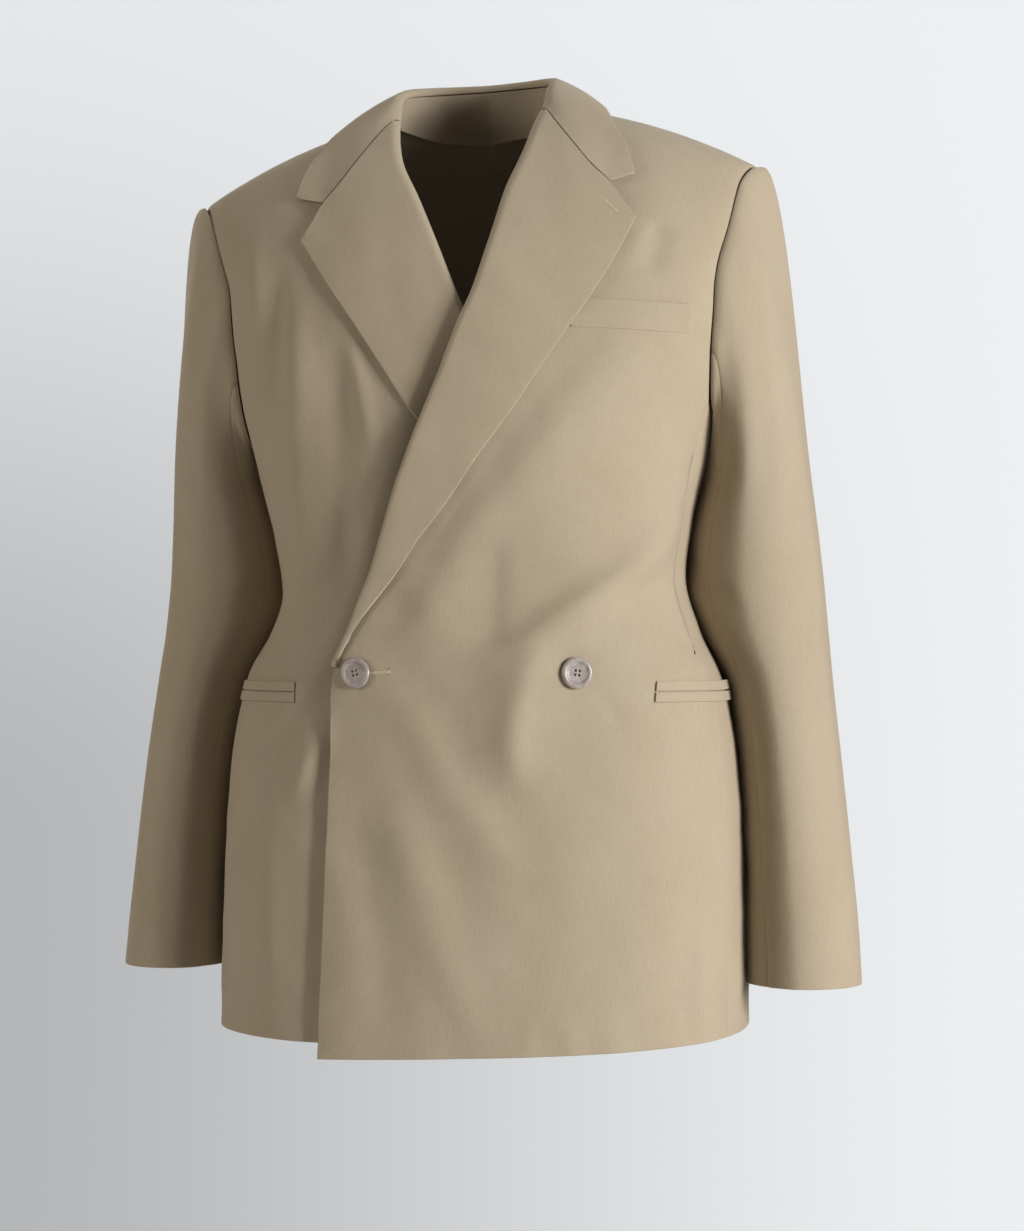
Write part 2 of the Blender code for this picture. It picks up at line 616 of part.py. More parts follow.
def lapel_surface(side):
    def place(u, v):
        curl = CURL_STEPS / GRID_LAPEL[0]
        if u > curl:
            return lapel_point(side, v, (u - curl) / (1.0 - curl))
        roll, _ = lapel_rail(side, v)
        above, _ = lapel_rail(side, v + RAIL_STEP)
        line = (above - roll).normalized()
        opening = Vector((-line.y, line.x)) * side
        half = lapel_lift(side, v, 0.0) / 2
        turn = math.pi * (u / curl - 0.5)
        spot = roll + opening * (half * math.cos(turn) + ROLL_GAP)
        lift = half * (1.0 + math.sin(turn)) + front_lift(side, spot.x, spot.y)
        return front_point(spot.x, spot.y, lift, side)
    return place


def neck_place(side, angle, run, lift):
    signed = angle if run >= 0 else -angle
    return cloth_point(side, signed, abs(run), lift)


def collar_rail(side, along):
    """Neck seam, roll and edge of the collar at a share of the way from its end to the back."""
    read = {name: look_up(COLLAR, name, along) for name in Collar._fields[1:]}
    neck = neck_place(side, read["neck_angle"], read["neck_run"], 0.0)
    edge = neck_place(side, read["edge_angle"], read["edge_run"], COLLAR_EDGE_LIFT)
    roll = posture(Vector((side * read["roll_x"], read["roll_y"], read["roll_z"])), 0.0)
    inward = Vector((-neck.x, -neck.y, 0.0)).normalized()
    return neck + inward * STAND_INSET + Vector((0.0, 0.0, STAND_RISE)), roll, edge


def collar_outward(roll, edge):
    """The way down from the roll to the edge, and the way out of the collar there."""
    way = (edge - roll).normalized()
    out = Vector((roll.x, roll.y, COLLAR_OUT_RISE))
    return way, (out - way * out.dot(way)).normalized()


def collar_plain(side, along, share):
    """A point of the fall between its roll (0) and its edge (1)."""
    _, roll, edge = collar_rail(side, along)
    _, out = collar_outward(roll, edge)
    start = roll + out * COLLAR_CURL * 2.0
    return start + (edge - start) * share + out * COLLAR_BULGE * arch(share)


def collar_end(side, share):
    """The front end of the fall: beside the lapel down to the notch, then out to its point."""
    if share <= COLLAR_NOTCH_SHARE:
        return lapel_point(side, 1.0, share / COLLAR_NOTCH_SHARE * NOTCH_SHARE, GORGE_GAP)
    notch = lapel_point(side, 1.0, NOTCH_SHARE, GORGE_GAP)
    past = (share - COLLAR_NOTCH_SHARE) / (1.0 - COLLAR_NOTCH_SHARE)
    return notch + (collar_plain(side, 0.0, 1.0) - notch) * past


def collar_place(u):
    """Side and share of the way to the centre back, from the right end to the left end."""
    return (1 if u >= 0.5 else -1), 1.0 - abs(2.0 * u - 1.0)


def collar_fall_surface(u, v):
    side, along = collar_place(u)
    curl = CURL_STEPS / GRID_COLLAR[1]
    if v <= curl:
        _, roll, edge = collar_rail(side, along)
        way, out = collar_outward(roll, edge)
        turn = math.pi * v / curl
        curled = out * (1.0 - math.cos(turn)) - way * math.sin(turn)
        return roll - way * SEAM_HALF + curled * COLLAR_CURL
    share = (v - curl) / (1.0 - curl)
    moved = collar_end(side, share) - collar_plain(side, 0.0, share)
    near = ease(GORGE_REACH, 0.0, along) * ease(0.0, GORGE_START, share)
    return clear_of_shoulder(collar_plain(side, along, share) + moved * near)


def clear_of_shoulder(point):
    """Keeps a point of the collar just above the shoulder that it lies over."""
    side = 1 if point.x >= SHOULDER_SWAY else -1
    x = abs(point.x - SHOULDER_SWAY)
    low, high = SECTIONS[0].run, COLLAR_LOWEST_RUN
    for _ in range(SEARCH_STEPS):
        run = (low + high) / 2
        angle = math.degrees(math.acos(min(1.0, x / look_up(SECTIONS, "half", run))))
        angle = -angle if point.y > 0 else angle
        if abs(form_point(angle, run).y) < abs(point.y):
            low = run
        else:
            high = run
    base = cloth_point(side, angle, run, COLLAR_CLEARANCE)
    return base if point.z < base.z else point


def collar_stand_surface(u, v):
    inner = STAND_START / 2.0
    side, along = collar_place(mix(inner, 1.0 - inner, u))
    neck, roll, _ = collar_rail(side, along)
    top = roll - (roll - neck).normalized() * STAND_TOP_GAP
    return neck + (top - neck) * v


def sleeve_start(side, angle):
    """The sleeve's first ring: the armhole, lifted clear of the panels that it is sewn to."""
    back = angle > 180.0
    along = abs(angle - 180.0) / 180.0
    place, run = armhole_place(along, back)
    normal = form_normal(place, run)
    normal.x *= side
    lift = CAP_LIFT + CAP_LIFT_FLAT * max(normal.z, ease(CAP_FLAT_SHARE, 0.0, along))
    tip = ease(CAP_TIP_SHARE, 1.0, along)
    lift += CAP_LIFT_TIP * tip
    out = Vector((side * CAP_OUT_TIP * tip, 0.0, 0.0))
    return cloth_point(side, place, run) + normal * lift + out


def sleeve_ring(side, angle, z):
    turn = math.radians(angle)
    inner = look_up(SLEEVE_RINGS, "inner", z)
    if side > 0:
        inner -= look_up(SLEEVE_RINGS, "near", z) * MM
    outer = look_up(SLEEVE_RINGS, "outer", z)
    x = (inner + outer) / 2 + (outer - inner) / 2 * math.cos(turn)
    y = look_up(SLEEVE_RINGS, "middle", z) - look_up(SLEEVE_RINGS, "depth", z) * math.sin(turn)
    sway = CUFF_SWAY * ease(CUFF_SWAY_TOP, SLEEVE_RINGS[-1].height, z)
    return Vector((side * x + sway, y, z))


def sleeve_fold(angle, z):
    rise = 0.0
    for fold in SLEEVE_FOLDS:
        way = Vector((math.radians(fold.angle1 - fold.angle0) * SLEEVE_RADIUS, fold.z1 - fold.z0))
        here = Vector((math.radians(angle - fold.angle0) * SLEEVE_RADIUS, z - fold.z0))
        share = here.dot(way) / way.length_squared
        if not -FOLD_OVERRUN < share < 1.0 + FOLD_OVERRUN:
            continue
        off = (way.x * here.y - way.y * here.x) / way.length
        taper = fold_taper(share)
        rise += fold.rise * taper * math.exp(-((off / (fold.spread * MM)) ** 2))
    return rise * MM


def sleeve_surface(side, first, last):
    def place(u, v):
        angle = mix(first, last, u) % 360.0
        if v < CAP_SHARE:
            start = sleeve_start(side, angle)
            end = sleeve_ring(side, angle, SLEEVE_RINGS[0].height)
            top = (1.0 + math.cos(math.radians(angle))) / 2.0
            push = Vector((side, start.y * CAP_PUSH_FORE, -CAP_PUSH_DOWN)).normalized()
            beside = abs(math.sin(math.radians(angle)))
            push *= mix(CAP_PUSH_BOTTOM, CAP_PUSH_TOP, top) + CAP_PUSH_SIDES * beside
            pull = Vector((side * CAP_PULL_OUT, CAP_PULL_OUT, -1.0))
            pull *= CAP_PULL * mix(CAP_PULL_BOTTOM, 1.0, top)
            point = curve_through(start, push, end, pull, v / CAP_SHARE)
        else:
            share = (v - CAP_SHARE) / (1.0 - CAP_SHARE)
            z = mix(SLEEVE_RINGS[0].height, CUFF_HEIGHT[side], share)
            point = sleeve_ring(side, angle, z)
        turn = math.radians(angle)
        out = Vector((side * math.cos(turn), -math.sin(turn), 0.0))
        return point + out * sleeve_fold(angle, point.z) * ease(0.0, SLEEVE_FOLD_START, v)
    return place


def welt_surface(u, v):
    x = mix(WELT_START, WELT_END, u)
    z = mix(WELT_TOP_START, WELT_TOP_END, u) - WELT_TALL * (1.0 - v)
    return front_point(x, z, WELT_LIFT + front_lift(1, x, z))


def jet_surface(side, lower):
    def place(u, v):
        start = POCKET_REACH + side * OVERLAP_CENTRE
        first, run = form_place(start, POCKET_HEIGHT)
        angle = mix(first, first - POCKET_LENGTH_ANGLE, u)
        down = JET_TALL * (1.0 - v) + (JET_TALL + JET_GAP if lower else 0.0)
        flat = form_point(angle, run + down)
        lift = JET_LIFT + front_lift(side, flat.x * side, flat.z)
        return cloth_point(side, angle, run + down, lift)
    return place


def make_material(name, colour, roughness):
    material = bpy.data.materials.new(name)
    material.use_nodes = True
    shader = material.node_tree.nodes["Principled BSDF"]
    shader.inputs["Base Color"].default_value = (*colour, 1.0)
    shader.inputs["Roughness"].default_value = roughness
    shader.inputs["Metallic"].default_value = 0.0
    return material


def make_collection(name, hidden=False):
    collection = bpy.data.collections.new(name)
    collection.hide_render = hidden
    bpy.context.scene.collection.children.link(collection)
    return collection


def make_panel(name, grid, place, collection, wall=CLOTH_WALL):
    """An open sheet laid by a rule, given its wall by Solidify."""
    columns, rows = grid
    sheet = bmesh.new()
    bmesh.ops.create_grid(sheet, x_segments=columns, y_segments=rows, size=HALF_GRID)
    for vert in sheet.verts:
        vert.co = place(vert.co.x + HALF_GRID, vert.co.y + HALF_GRID)
    mesh = bpy.data.meshes.new(name)
    sheet.to_mesh(mesh)
    sheet.free()
    mesh.shade_smooth()
    mesh.materials.append(make_material(name, CLOTH_COLOUR, CLOTH_ROUGHNESS))
    panel = bpy.data.objects.new(name, mesh)
    collection.objects.link(panel)
    wall_modifier = panel.modifiers.new("wall", "SOLIDIFY")
    wall_modifier.thickness = wall
    wall_modifier.offset = 0.0
    return panel


def make_hole_cutter(name, collection):
    """Four drills through a button, in one cutter."""
    cutter = bmesh.new()
    for hole in range(BUTTON_HOLES):
        turn = BUTTON_HOLE_TURN + 2.0 * math.pi * hole / BUTTON_HOLES
        drill = bmesh.ops.create_cone(cutter, cap_ends=True, segments=BUTTON_HOLE_STEPS,
                                      depth=DRILL_LENGTH, radius1=BUTTON_HOLE_RADIUS,
                                      radius2=BUTTON_HOLE_RADIUS)
        spot = Vector((math.cos(turn), math.sin(turn), 0.0)) * BUTTON_HOLE_OFFSET
        bmesh.ops.translate(cutter, vec=spot, verts=drill["verts"])
    mesh = bpy.data.meshes.new(name)
    cutter.to_mesh(mesh)
    cutter.free()
    holes = bpy.data.objects.new(name, mesh)
    holes.hide_render = True
    holes.display_type = "WIRE"
    collection.objects.link(holes)
    return holes


def button_seat(x):
    """Where a button rests on the highest places of the left front under it."""
    rim = []
    for step in range(BUTTON_TURN_STEPS):
        turn = 2.0 * math.pi * step / BUTTON_TURN_STEPS
        rim_x = x + BUTTON_RADIUS * math.cos(turn)
        rim_z = BUTTON_HEIGHT + BUTTON_RADIUS * math.sin(turn)
        lift = front_lift(1, rim_x, rim_z) + CLOTH_WALL / 2
        rim.append(front_point(rim_x, rim_z, lift))
    quarter = BUTTON_TURN_STEPS // 4
    across = rim[0] - rim[2 * quarter]
    up = rim[quarter] - rim[3 * quarter]
    facing = across.cross(up).normalized()
    middle = front_point(x, BUTTON_HEIGHT, front_lift(1, x, BUTTON_HEIGHT) + CLOTH_WALL / 2)
    highest = max((spot - middle).dot(facing) for spot in rim)
    return middle + facing * (max(0.0, highest) + BUTTON_GAP), facing


def make_button(name, x, parts, cutters):
    """A turned four-hole button, facing out of the front that it is sewn to."""
    profile = [(radius * MM, 0.0, height * MM) for radius, height in BUTTON_PROFILE_MM]
    profile.reverse()
    profile.append((0.0, 0.0, 0.0))
    mesh = bpy.data.meshes.new(name)
    mesh.from_pydata(profile, [(i, i + 1) for i in range(len(profile) - 1)], [])
    mesh.materials.append(make_material(name, BUTTON_COLOUR, BUTTON_ROUGHNESS))
    button = bpy.data.objects.new(name, mesh)
    parts.objects.link(button)
    turned = button.modifiers.new("turned", "SCREW")
    turned.steps = BUTTON_TURN_STEPS
    turned.render_steps = BUTTON_TURN_STEPS
    turned.use_merge_vertices = True
    turned.merge_threshold = MERGE_DISTANCE
    drilled = button.modifiers.new("drilled", "BOOLEAN")
    drilled.operation = "DIFFERENCE"
    drilled.object = make_hole_cutter(name + "_holes", cutters)
    seat, facing = button_seat(x)
    for piece in (button, drilled.object):
        piece.rotation_mode = "QUATERNION"
        piece.rotation_quaternion = facing.to_track_quat("Z", "Y")
        piece.location = seat
    return button


def main():
    for old in list(bpy.data.objects):
        bpy.data.objects.remove(old, do_unlink=True)
    parts = make_collection("double_breasted_blazer")
    cutters = make_collection("cutters", hidden=True)
    for side, label in ((1, "left"), (-1, "right")):
        make_panel("front_" + label, GRID_FRONT, front_surface(side), parts)
        make_panel("back_" + label, GRID_BACK, back_surface(side), parts)
        make_panel("side_" + label, GRID_SIDE, side_surface(side), parts)
        make_panel("lapel_" + label, GRID_LAPEL, lapel_surface(side), parts)
        seam = SLEEVE_SEAM_HALF
        top = sleeve_surface(side, BACK_SLEEVE_SEAM - 360.0 + seam, FRONT_SLEEVE_SEAM - seam)
        under = sleeve_surface(side, FRONT_SLEEVE_SEAM + seam, BACK_SLEEVE_SEAM - seam)
        make_panel("sleeve_top_" + label, GRID_TOP_SLEEVE, top, parts)
        make_panel("sleeve_under_" + label, GRID_UNDER_SLEEVE, under, parts)
        make_panel("jet_upper_" + label, GRID_JET, jet_surface(side, False), parts, JET_WALL)
        make_panel("jet_lower_" + label, GRID_JET, jet_surface(side, True), parts, JET_WALL)
    make_panel("collar_fall", GRID_COLLAR, collar_fall_surface, parts)
    make_panel("collar_stand", GRID_STAND, collar_stand_surface, parts)
    make_panel("chest_welt", GRID_WELT, welt_surface, parts)
    make_button("button_fastened", OVERLAP_CENTRE - BUTTON_REACH, parts, cutters)
    make_button("button_inner", OVERLAP_CENTRE + BUTTON_REACH, parts, cutters)


main()
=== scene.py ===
import math
import bmesh
import bpy
import numpy as np
from mathutils import Matrix, Vector


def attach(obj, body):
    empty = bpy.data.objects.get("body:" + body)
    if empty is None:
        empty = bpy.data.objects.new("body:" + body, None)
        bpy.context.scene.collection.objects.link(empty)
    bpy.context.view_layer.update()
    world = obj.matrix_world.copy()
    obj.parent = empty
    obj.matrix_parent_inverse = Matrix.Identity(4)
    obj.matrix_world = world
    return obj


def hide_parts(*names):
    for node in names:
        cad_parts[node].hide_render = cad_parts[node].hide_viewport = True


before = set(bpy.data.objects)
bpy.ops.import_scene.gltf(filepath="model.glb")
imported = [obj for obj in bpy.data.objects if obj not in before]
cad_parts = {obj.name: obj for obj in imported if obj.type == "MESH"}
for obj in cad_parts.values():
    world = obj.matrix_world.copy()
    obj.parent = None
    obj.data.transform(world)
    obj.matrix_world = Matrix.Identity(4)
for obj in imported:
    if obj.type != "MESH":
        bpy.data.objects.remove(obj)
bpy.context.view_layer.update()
bpy.ops.object.select_all(action="DESELECT")
mm = 0.001
halvings = 26   # steps of a search by halving
left, right = 1, -1   # the wearer's sides: left is +X
print("frame is in, with", len(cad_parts), "nodes")


# curves and tables that every piece reads

def table(columns, rows):
    return dict(zip(columns.split(), np.array(rows, float).T))


def eachRow(rows):
    return [dict(zip(rows, values)) for values in zip(*rows.values())]


def mix(a, b, share):
    return a + (b - a) * share


def ease(start, end, value):
    share = np.clip((value - start) / (end - start), 0, 1)
    return share * share * (3 - 2 * share)


def arch(share):
    return 4 * share * (1 - share)


def curveThrough(start, startWay, end, endWay, t):
    point = start * (2 * t**3 - 3 * t**2 + 1) + end * (3 * t**2 - 2 * t**3)
    return point + startWay * (t**3 - 2 * t**2 + t) + endWay * (t**3 - t**2)


def read(rows, column, at):
    # reads a column at values of the first column, on a curve that never overshoots
    keys, values = next(iter(rows.values())), rows[column]
    if keys[0] > keys[-1]:
        keys, values = keys[::-1], values[::-1]
    steps = np.diff(values) / np.diff(keys)
    before, after = steps[:-1], steps[1:]
    total = np.where(before * after > 0, before + after, 1)
    inner = np.where(before * after > 0, 2 * before * after / total, 0)
    slopes = np.concatenate([steps[:1], inner, steps[-1:]])
    at = np.clip(at, keys[0], keys[-1])
    i = np.clip(np.searchsorted(keys, at, side="right") - 1, 0, len(keys) - 2)
    width = keys[i + 1] - keys[i]
    share = (at - keys[i]) / width
    return curveThrough(values[i], width * slopes[i], values[i + 1], width * slopes[i + 1], share)


def unit(ways):
    return ways / np.maximum(np.linalg.norm(ways, axis=-1, keepdims=True), 1e-12)


def vec(x, y, z):
    return np.stack(np.broadcast_arrays(x, y, z), -1).astype(float)


# the garment form: angle 0 at the side, 90 at the centre front, -90 at the centre back

formSections = table("run level half front back corner drop", [
    (0.000, 0.0060, 0.2290, 0.0000, 0.0000, 2.6, -0.0652),
    (0.012, 0.0055, 0.2298, 0.0120, 0.0130, 2.7, -0.0652),
    (0.024, 0.0030, 0.2305, 0.0235, 0.0260, 2.8, -0.0647),
    (0.040, -0.0040, 0.2306, 0.0380, 0.0430, 2.8, -0.0615),
    (0.060, -0.0160, 0.2305, 0.0535, 0.0600, 2.8, -0.0580),
    (0.085, -0.0340, 0.2290, 0.0700, 0.0760, 2.8, -0.0500),
    (0.115, -0.0575, 0.2260, 0.0860, 0.0900, 2.75, -0.0380),
    (0.150, -0.0890, 0.2220, 0.1025, 0.1050, 2.7, -0.0240),
    (0.190, -0.1250, 0.2165, 0.1165, 0.1180, 2.6, -0.0110),
    (0.235, -0.1680, 0.2115, 0.1280, 0.1260, 2.5, -0.0030),
    (0.282, -0.2145, 0.2020, 0.1360, 0.1285, 2.45, 0.0),
    (0.325, -0.2560, 0.1900, 0.1400, 0.1260, 2.4, 0.0),
    (0.366, -0.2970, 0.1800, 0.1410, 0.1190, 2.4, 0.0),
    (0.414, -0.3450, 0.1680, 0.1360, 0.1090, 2.4, 0.0),
    (0.455, -0.3850, 0.1630, 0.1300, 0.1030, 2.4, 0.0),
    (0.490, -0.4200, 0.1740, 0.1310, 0.1060, 2.4, 0.0),
    (0.531, -0.4610, 0.1940, 0.1350, 0.1150, 2.4, 0.0),
    (0.597, -0.5260, 0.2065, 0.1420, 0.1300, 2.4, 0.0),
    (0.711, -0.6400, 0.2130, 0.1490, 0.1400, 2.4, 0.0),
    (0.831, -0.7600, 0.2150, 0.1530, 0.1430, 2.4, 0.0)])

sideBlend = {"angle": 4, "run": 6 * mm, "runFull": 26 * mm}   # where the front's and the back's ways out meet
posture = {"lean": 0.0526, "leanBottom": -0.46, "leanTop": -0.36, "sway": -5 * mm, "swayBottom": -0.12}

# a fold is a line from one end to the other, bowed sideways and steeper on one side
# a rise below zero makes a trough
frontFolds = table("x0 z0 x1 z1 bow spread rise lean", [
    (0.187, -0.295, 0.062, -0.439, 0.008, 24, 5.0, -0.30),
    (0.171, -0.327, 0.035, -0.443, 0.009, 15, 7.6, 0.15),
    (0.060, -0.427, 0.043, -0.544, -0.004, 34, 8.0, -0.05),
    (0.067, -0.431, 0.049, -0.536, -0.006, 12, 3.8, -0.10),
    (0.148, -0.185, 0.025, -0.337, 0, 25, 4.6, 0.10),
    (0.037, -0.310, -0.031, -0.435, -0.006, 20, 4.0, 0.10),
    (0.108, -0.201, -0.027, -0.365, -0.004, 18, -1.8, 0),
    (0.032, -0.341, 0.030, -0.435, 0, 15, -2.6, -0.30),
    (-0.052, -0.465, 0.056, -0.621, 0, 19, 3.4, -0.05),
    (-0.044, -0.544, 0.021, -0.739, -0.004, 20, 3.2, 0),
    (-0.081, -0.505, -0.046, -0.747, 0, 17, -1.9, 0),
    (0.187, -0.653, 0.189, -0.755, 0, 13, 3.0, 0.40),
    (0.108, -0.465, 0.130, -0.497, 0, 7, -1.0, 0),
    (0.158, -0.104, 0.150, -0.149, 0, 12, -3.0, 0),
    (0.062, -0.715, 0.062, -0.775, 0, 7, 0.8, 0),
    (0.092, -0.720, 0.094, -0.775, 0, 8, 0.9, 0),
    (0.124, -0.705, 0.126, -0.775, 0, 9, 1.0, 0),
    (-0.172, -0.096, -0.169, -0.170, 0, 10, 3.0, 0),
    (-0.150, -0.115, -0.147, -0.235, 0, 10, -3.0, 0),
    (-0.131, -0.140, -0.129, -0.430, 0, 15, 4.6, 0),
    (-0.091, -0.190, -0.092, -0.400, 0, 13, -3.8, 0),
    (-0.087, -0.182, -0.062, -0.277, 0, 9, 3.2, 0),
    (-0.100, -0.489, -0.135, -0.558, 0, 10, 3.0, 0),
    (-0.101, -0.464, -0.176, -0.535, 0, 10, -3.2, 0),
    (-0.153, -0.535, -0.150, -0.725, 0, 14, 2.6, 0)])
backFolds = table("x0 z0 x1 z1 bow spread rise lean", [
    (-0.158, -0.120, -0.150, -0.280, 0.004, 13, 4.0, 0),
    (0.160, -0.115, 0.151, -0.290, -0.004, 13, 4.0, 0),
    (-0.135, -0.330, -0.035, -0.392, 0.006, 10, -3.0, 0),
    (0.140, -0.322, 0.040, -0.386, -0.006, 10, -3.0, 0),
    (-0.120, -0.375, -0.030, -0.425, 0.004, 9, 2.5, 0),
    (0.125, -0.368, 0.035, -0.420, -0.004, 9, 2.5, 0),
    (-0.060, -0.470, -0.085, -0.720, 0.010, 17, -4.0, 0),
    (0.070, -0.480, 0.095, -0.720, -0.010, 17, -4.0, 0),
    (0.000, -0.110, 0.000, -0.240, 0, 20, -2.0, 0)])
sleeveFolds = table("angle0 z0 angle1 z1 spread rise", [
    (165, -0.350, 100, -0.405, 10, -2.0),
    (60, -0.130, 75, -0.330, 14, -2.5),
    (25, -0.160, 30, -0.640, 13, 2.5),
    (290, -0.140, 280, -0.330, 14, -3.0),
    (200, -0.540, 150, -0.640, 12, -2.0)])
foldEnds = {"overrun": 0.1, "taper": 0.28}
sideFade = {"start": 8, "full": 26}

# long soft waves that keep the cloth from looking pressed flat: metres across, turn, height in mm
ripples = table("length turn height", [
    (0.061, 12, 0.22), (0.047, 71, 0.16), (0.083, -38, 0.26), (0.034, 28, 0.09), (0.029, -64, 0.07)])
rippleBend = {"reach": 0.012, "length": 0.19, "start": 0.06}


def formPoint(angle, run):
    across = np.cos(np.radians(angle))
    front, back = read(formSections, "front", run), read(formSections, "back", run)
    depth = np.where(angle >= 0, -front, back)
    corner = read(formSections, "corner", run)
    y = depth * np.maximum(0, 1 - np.abs(across) ** corner) ** (1 / corner)
    z = read(formSections, "level", run) + read(formSections, "drop", run) * across**2
    return vec(read(formSections, "half", run) * across, y, z)


def halfNormal(angle, run):
    least = sideBlend["angle"]
    angle = np.where(np.abs(angle) < least, np.where(angle >= 0, least, -least), angle)
    acrossWay = formPoint(angle + 0.5, run) - formPoint(angle - 0.5, run)
    downWay = formPoint(angle, run + 2 * mm) - formPoint(angle, run - 2 * mm)
    return unit(np.cross(acrossWay, downWay))


def formNormal(angle, run):
    # the front's and the back's ways out meet softly at the side and along the shoulder
    least = sideBlend["angle"]
    angle, run = np.broadcast_arrays(angle, np.maximum(run, sideBlend["run"]))
    own = 0.5 + 0.5 * np.clip(np.abs(angle) / least, 0, 1) * ease(sideBlend["run"], sideBlend["runFull"], run)
    beyond = halfNormal(np.where(angle >= 0, -np.maximum(angle, least), -np.minimum(angle, -least)), run)
    return unit(mix(beyond, halfNormal(angle, run), own[..., None]))


def formPlace(x, z):
    # the angle and run of the form at a sideways distance and a height, found by halving
    low = np.zeros(np.shape(x)) + formSections["run"][0]
    high = np.zeros(np.shape(x)) + formSections["run"][-1]
    for _ in range(halvings):
        run = (low + high) / 2
        across = np.minimum(1, np.abs(x) / read(formSections, "half", run))
        height = read(formSections, "level", run) + read(formSections, "drop", run) * across**2
        low, high = np.where(height > z, run, low), np.where(height > z, high, run)
    across = np.minimum(1, np.abs(x) / read(formSections, "half", run))
    return np.degrees(np.arccos(across)), run


def foldTaper(share):
    near = ease(-foldEnds["overrun"], foldEnds["taper"], share)
    return near * ease(-foldEnds["overrun"], foldEnds["taper"], 1 - share)


def foldShape(along, off, fold):
    within = (along > -foldEnds["overrun"]) & (along < 1 + foldEnds["overrun"])
    spread = fold["spread"] * mm * (1 + fold.get("lean", 0) * np.sign(off))
    return within * fold["rise"] * mm * foldTaper(along) * np.exp(-((off / spread) ** 2))


def foldRise(x, z, folds):
    rise = 0
    for fold in eachRow(folds):
        wayX, wayZ = fold["x1"] - fold["x0"], fold["z1"] - fold["z0"]
        hereX, hereZ = x - fold["x0"], z - fold["z0"]
        length = math.hypot(wayX, wayZ)
        share = (hereX * wayX + hereZ * wayZ) / length**2
        off = (wayX * hereZ - wayZ * hereX) / length - fold["bow"] * arch(share)
        rise = rise + foldShape(share, off, fold)
    return rise


def rippleRise(x, z):
    rise = 0
    for wave in eachRow(ripples):
        turn = math.radians(wave["turn"])
        across = x * math.cos(turn) + z * math.sin(turn)
        along = z * math.cos(turn) - x * math.sin(turn)
        bend = rippleBend["reach"] * np.sin(2 * math.pi * along / rippleBend["length"])
        rise = rise + wave["height"] * mm * np.sin(2 * math.pi * (across + bend) / wave["length"])
    return rise


def stand(point, level):
    # the wearer's left shoulder is carried higher, and both shoulders sway to the right
    lean = posture["lean"] * point[..., 0] * ease(posture["leanBottom"], posture["leanTop"], level)
    sway = posture["sway"] * ease(posture["swayBottom"], 0, level)
    return point + vec(sway, 0, lean)


def clothPoint(side, angle, run, lift=0, layer=left):
    point = formPoint(angle, run)
    x, z = point[..., 0] * side, point[..., 2]
    folds = np.where(angle >= 0, foldRise(x, z, frontFolds) * underLapels(x, z, layer),
                     foldRise(x, z, backFolds))
    fade = ease(sideFade["start"], sideFade["full"], np.abs(angle))
    out = lift + folds * fade + rippleRise(x, z) * ease(0, rippleBend["start"], run)
    moved = point + formNormal(angle, run) * out[..., None]
    moved[..., 0] *= side
    return stand(moved, read(formSections, "level", run))


def frontPoint(x, z, lift=0, layer=left):
    angle, run = formPlace(x, z)
    return clothPoint(np.where(x >= 0, 1, -1), angle, run, lift, layer)


# how a sheet is laid, sewn and given its wall

seam = {"half": 0.03 * mm, "dip": 0.45, "dipWidth": 1.9, "rim": 0.35 * mm, "finishedRim": 0.45}
grid = {"step": 3.6 * mm, "close": (0, 1.3 * mm, 2.9 * mm, 5.2 * mm), "rimTurns": (45, 0, -45)}


def gridLines(length, stops=()):
    # distances along a side, close together at both ends and round each stop
    marks = [0, *stops, length]
    lines = []
    for start, end in zip(marks, marks[1:]):
        close = np.array(grid["close"]) * min(1, (end - start) / (3 * grid["close"][-1]))
        count = max(2, round((end - start - 2 * close[-1]) / grid["step"]) + 1)
        middle = np.linspace(start + close[-1], end - close[-1], count)
        lines += [*(start + close[:-1]), *middle, *(end - close[-2:0:-1])]
    return np.array([*lines, length])


def arcs(points, axis):
    # how far along each grid line every point lies
    steps = np.linalg.norm(np.diff(points, axis=axis), axis=-1)
    start = np.zeros_like(np.take(steps, [0], axis=axis))
    return np.cumsum(np.concatenate([start, steps], axis=axis), axis=axis)


def slopes(points, axis):
    # the way along the grid lines, also where their spacing changes
    moved = np.moveaxis(points, axis, 0)
    steps = np.linalg.norm(np.diff(moved, axis=0), axis=-1, keepdims=True)
    ways = np.diff(moved, axis=0) / np.maximum(steps, 1e-9)
    before, after = steps[:-1], steps[1:]
    inner = (ways[:-1] * after + ways[1:] * before) / np.maximum(before + after, 1e-9)
    ends = [2 * ways[:1] - inner[:1], inner, 2 * ways[-1:] - inner[-1:]]
    return unit(np.moveaxis(np.concatenate(ends), 0, axis))


def outwardNormals(points, inside):
    normals = unit(np.cross(slopes(points, 0), slopes(points, 1)))
    outward = np.mean(np.sum(normals * (points - np.array(inside)), -1)) > 0
    return (normals if outward else -normals), outward


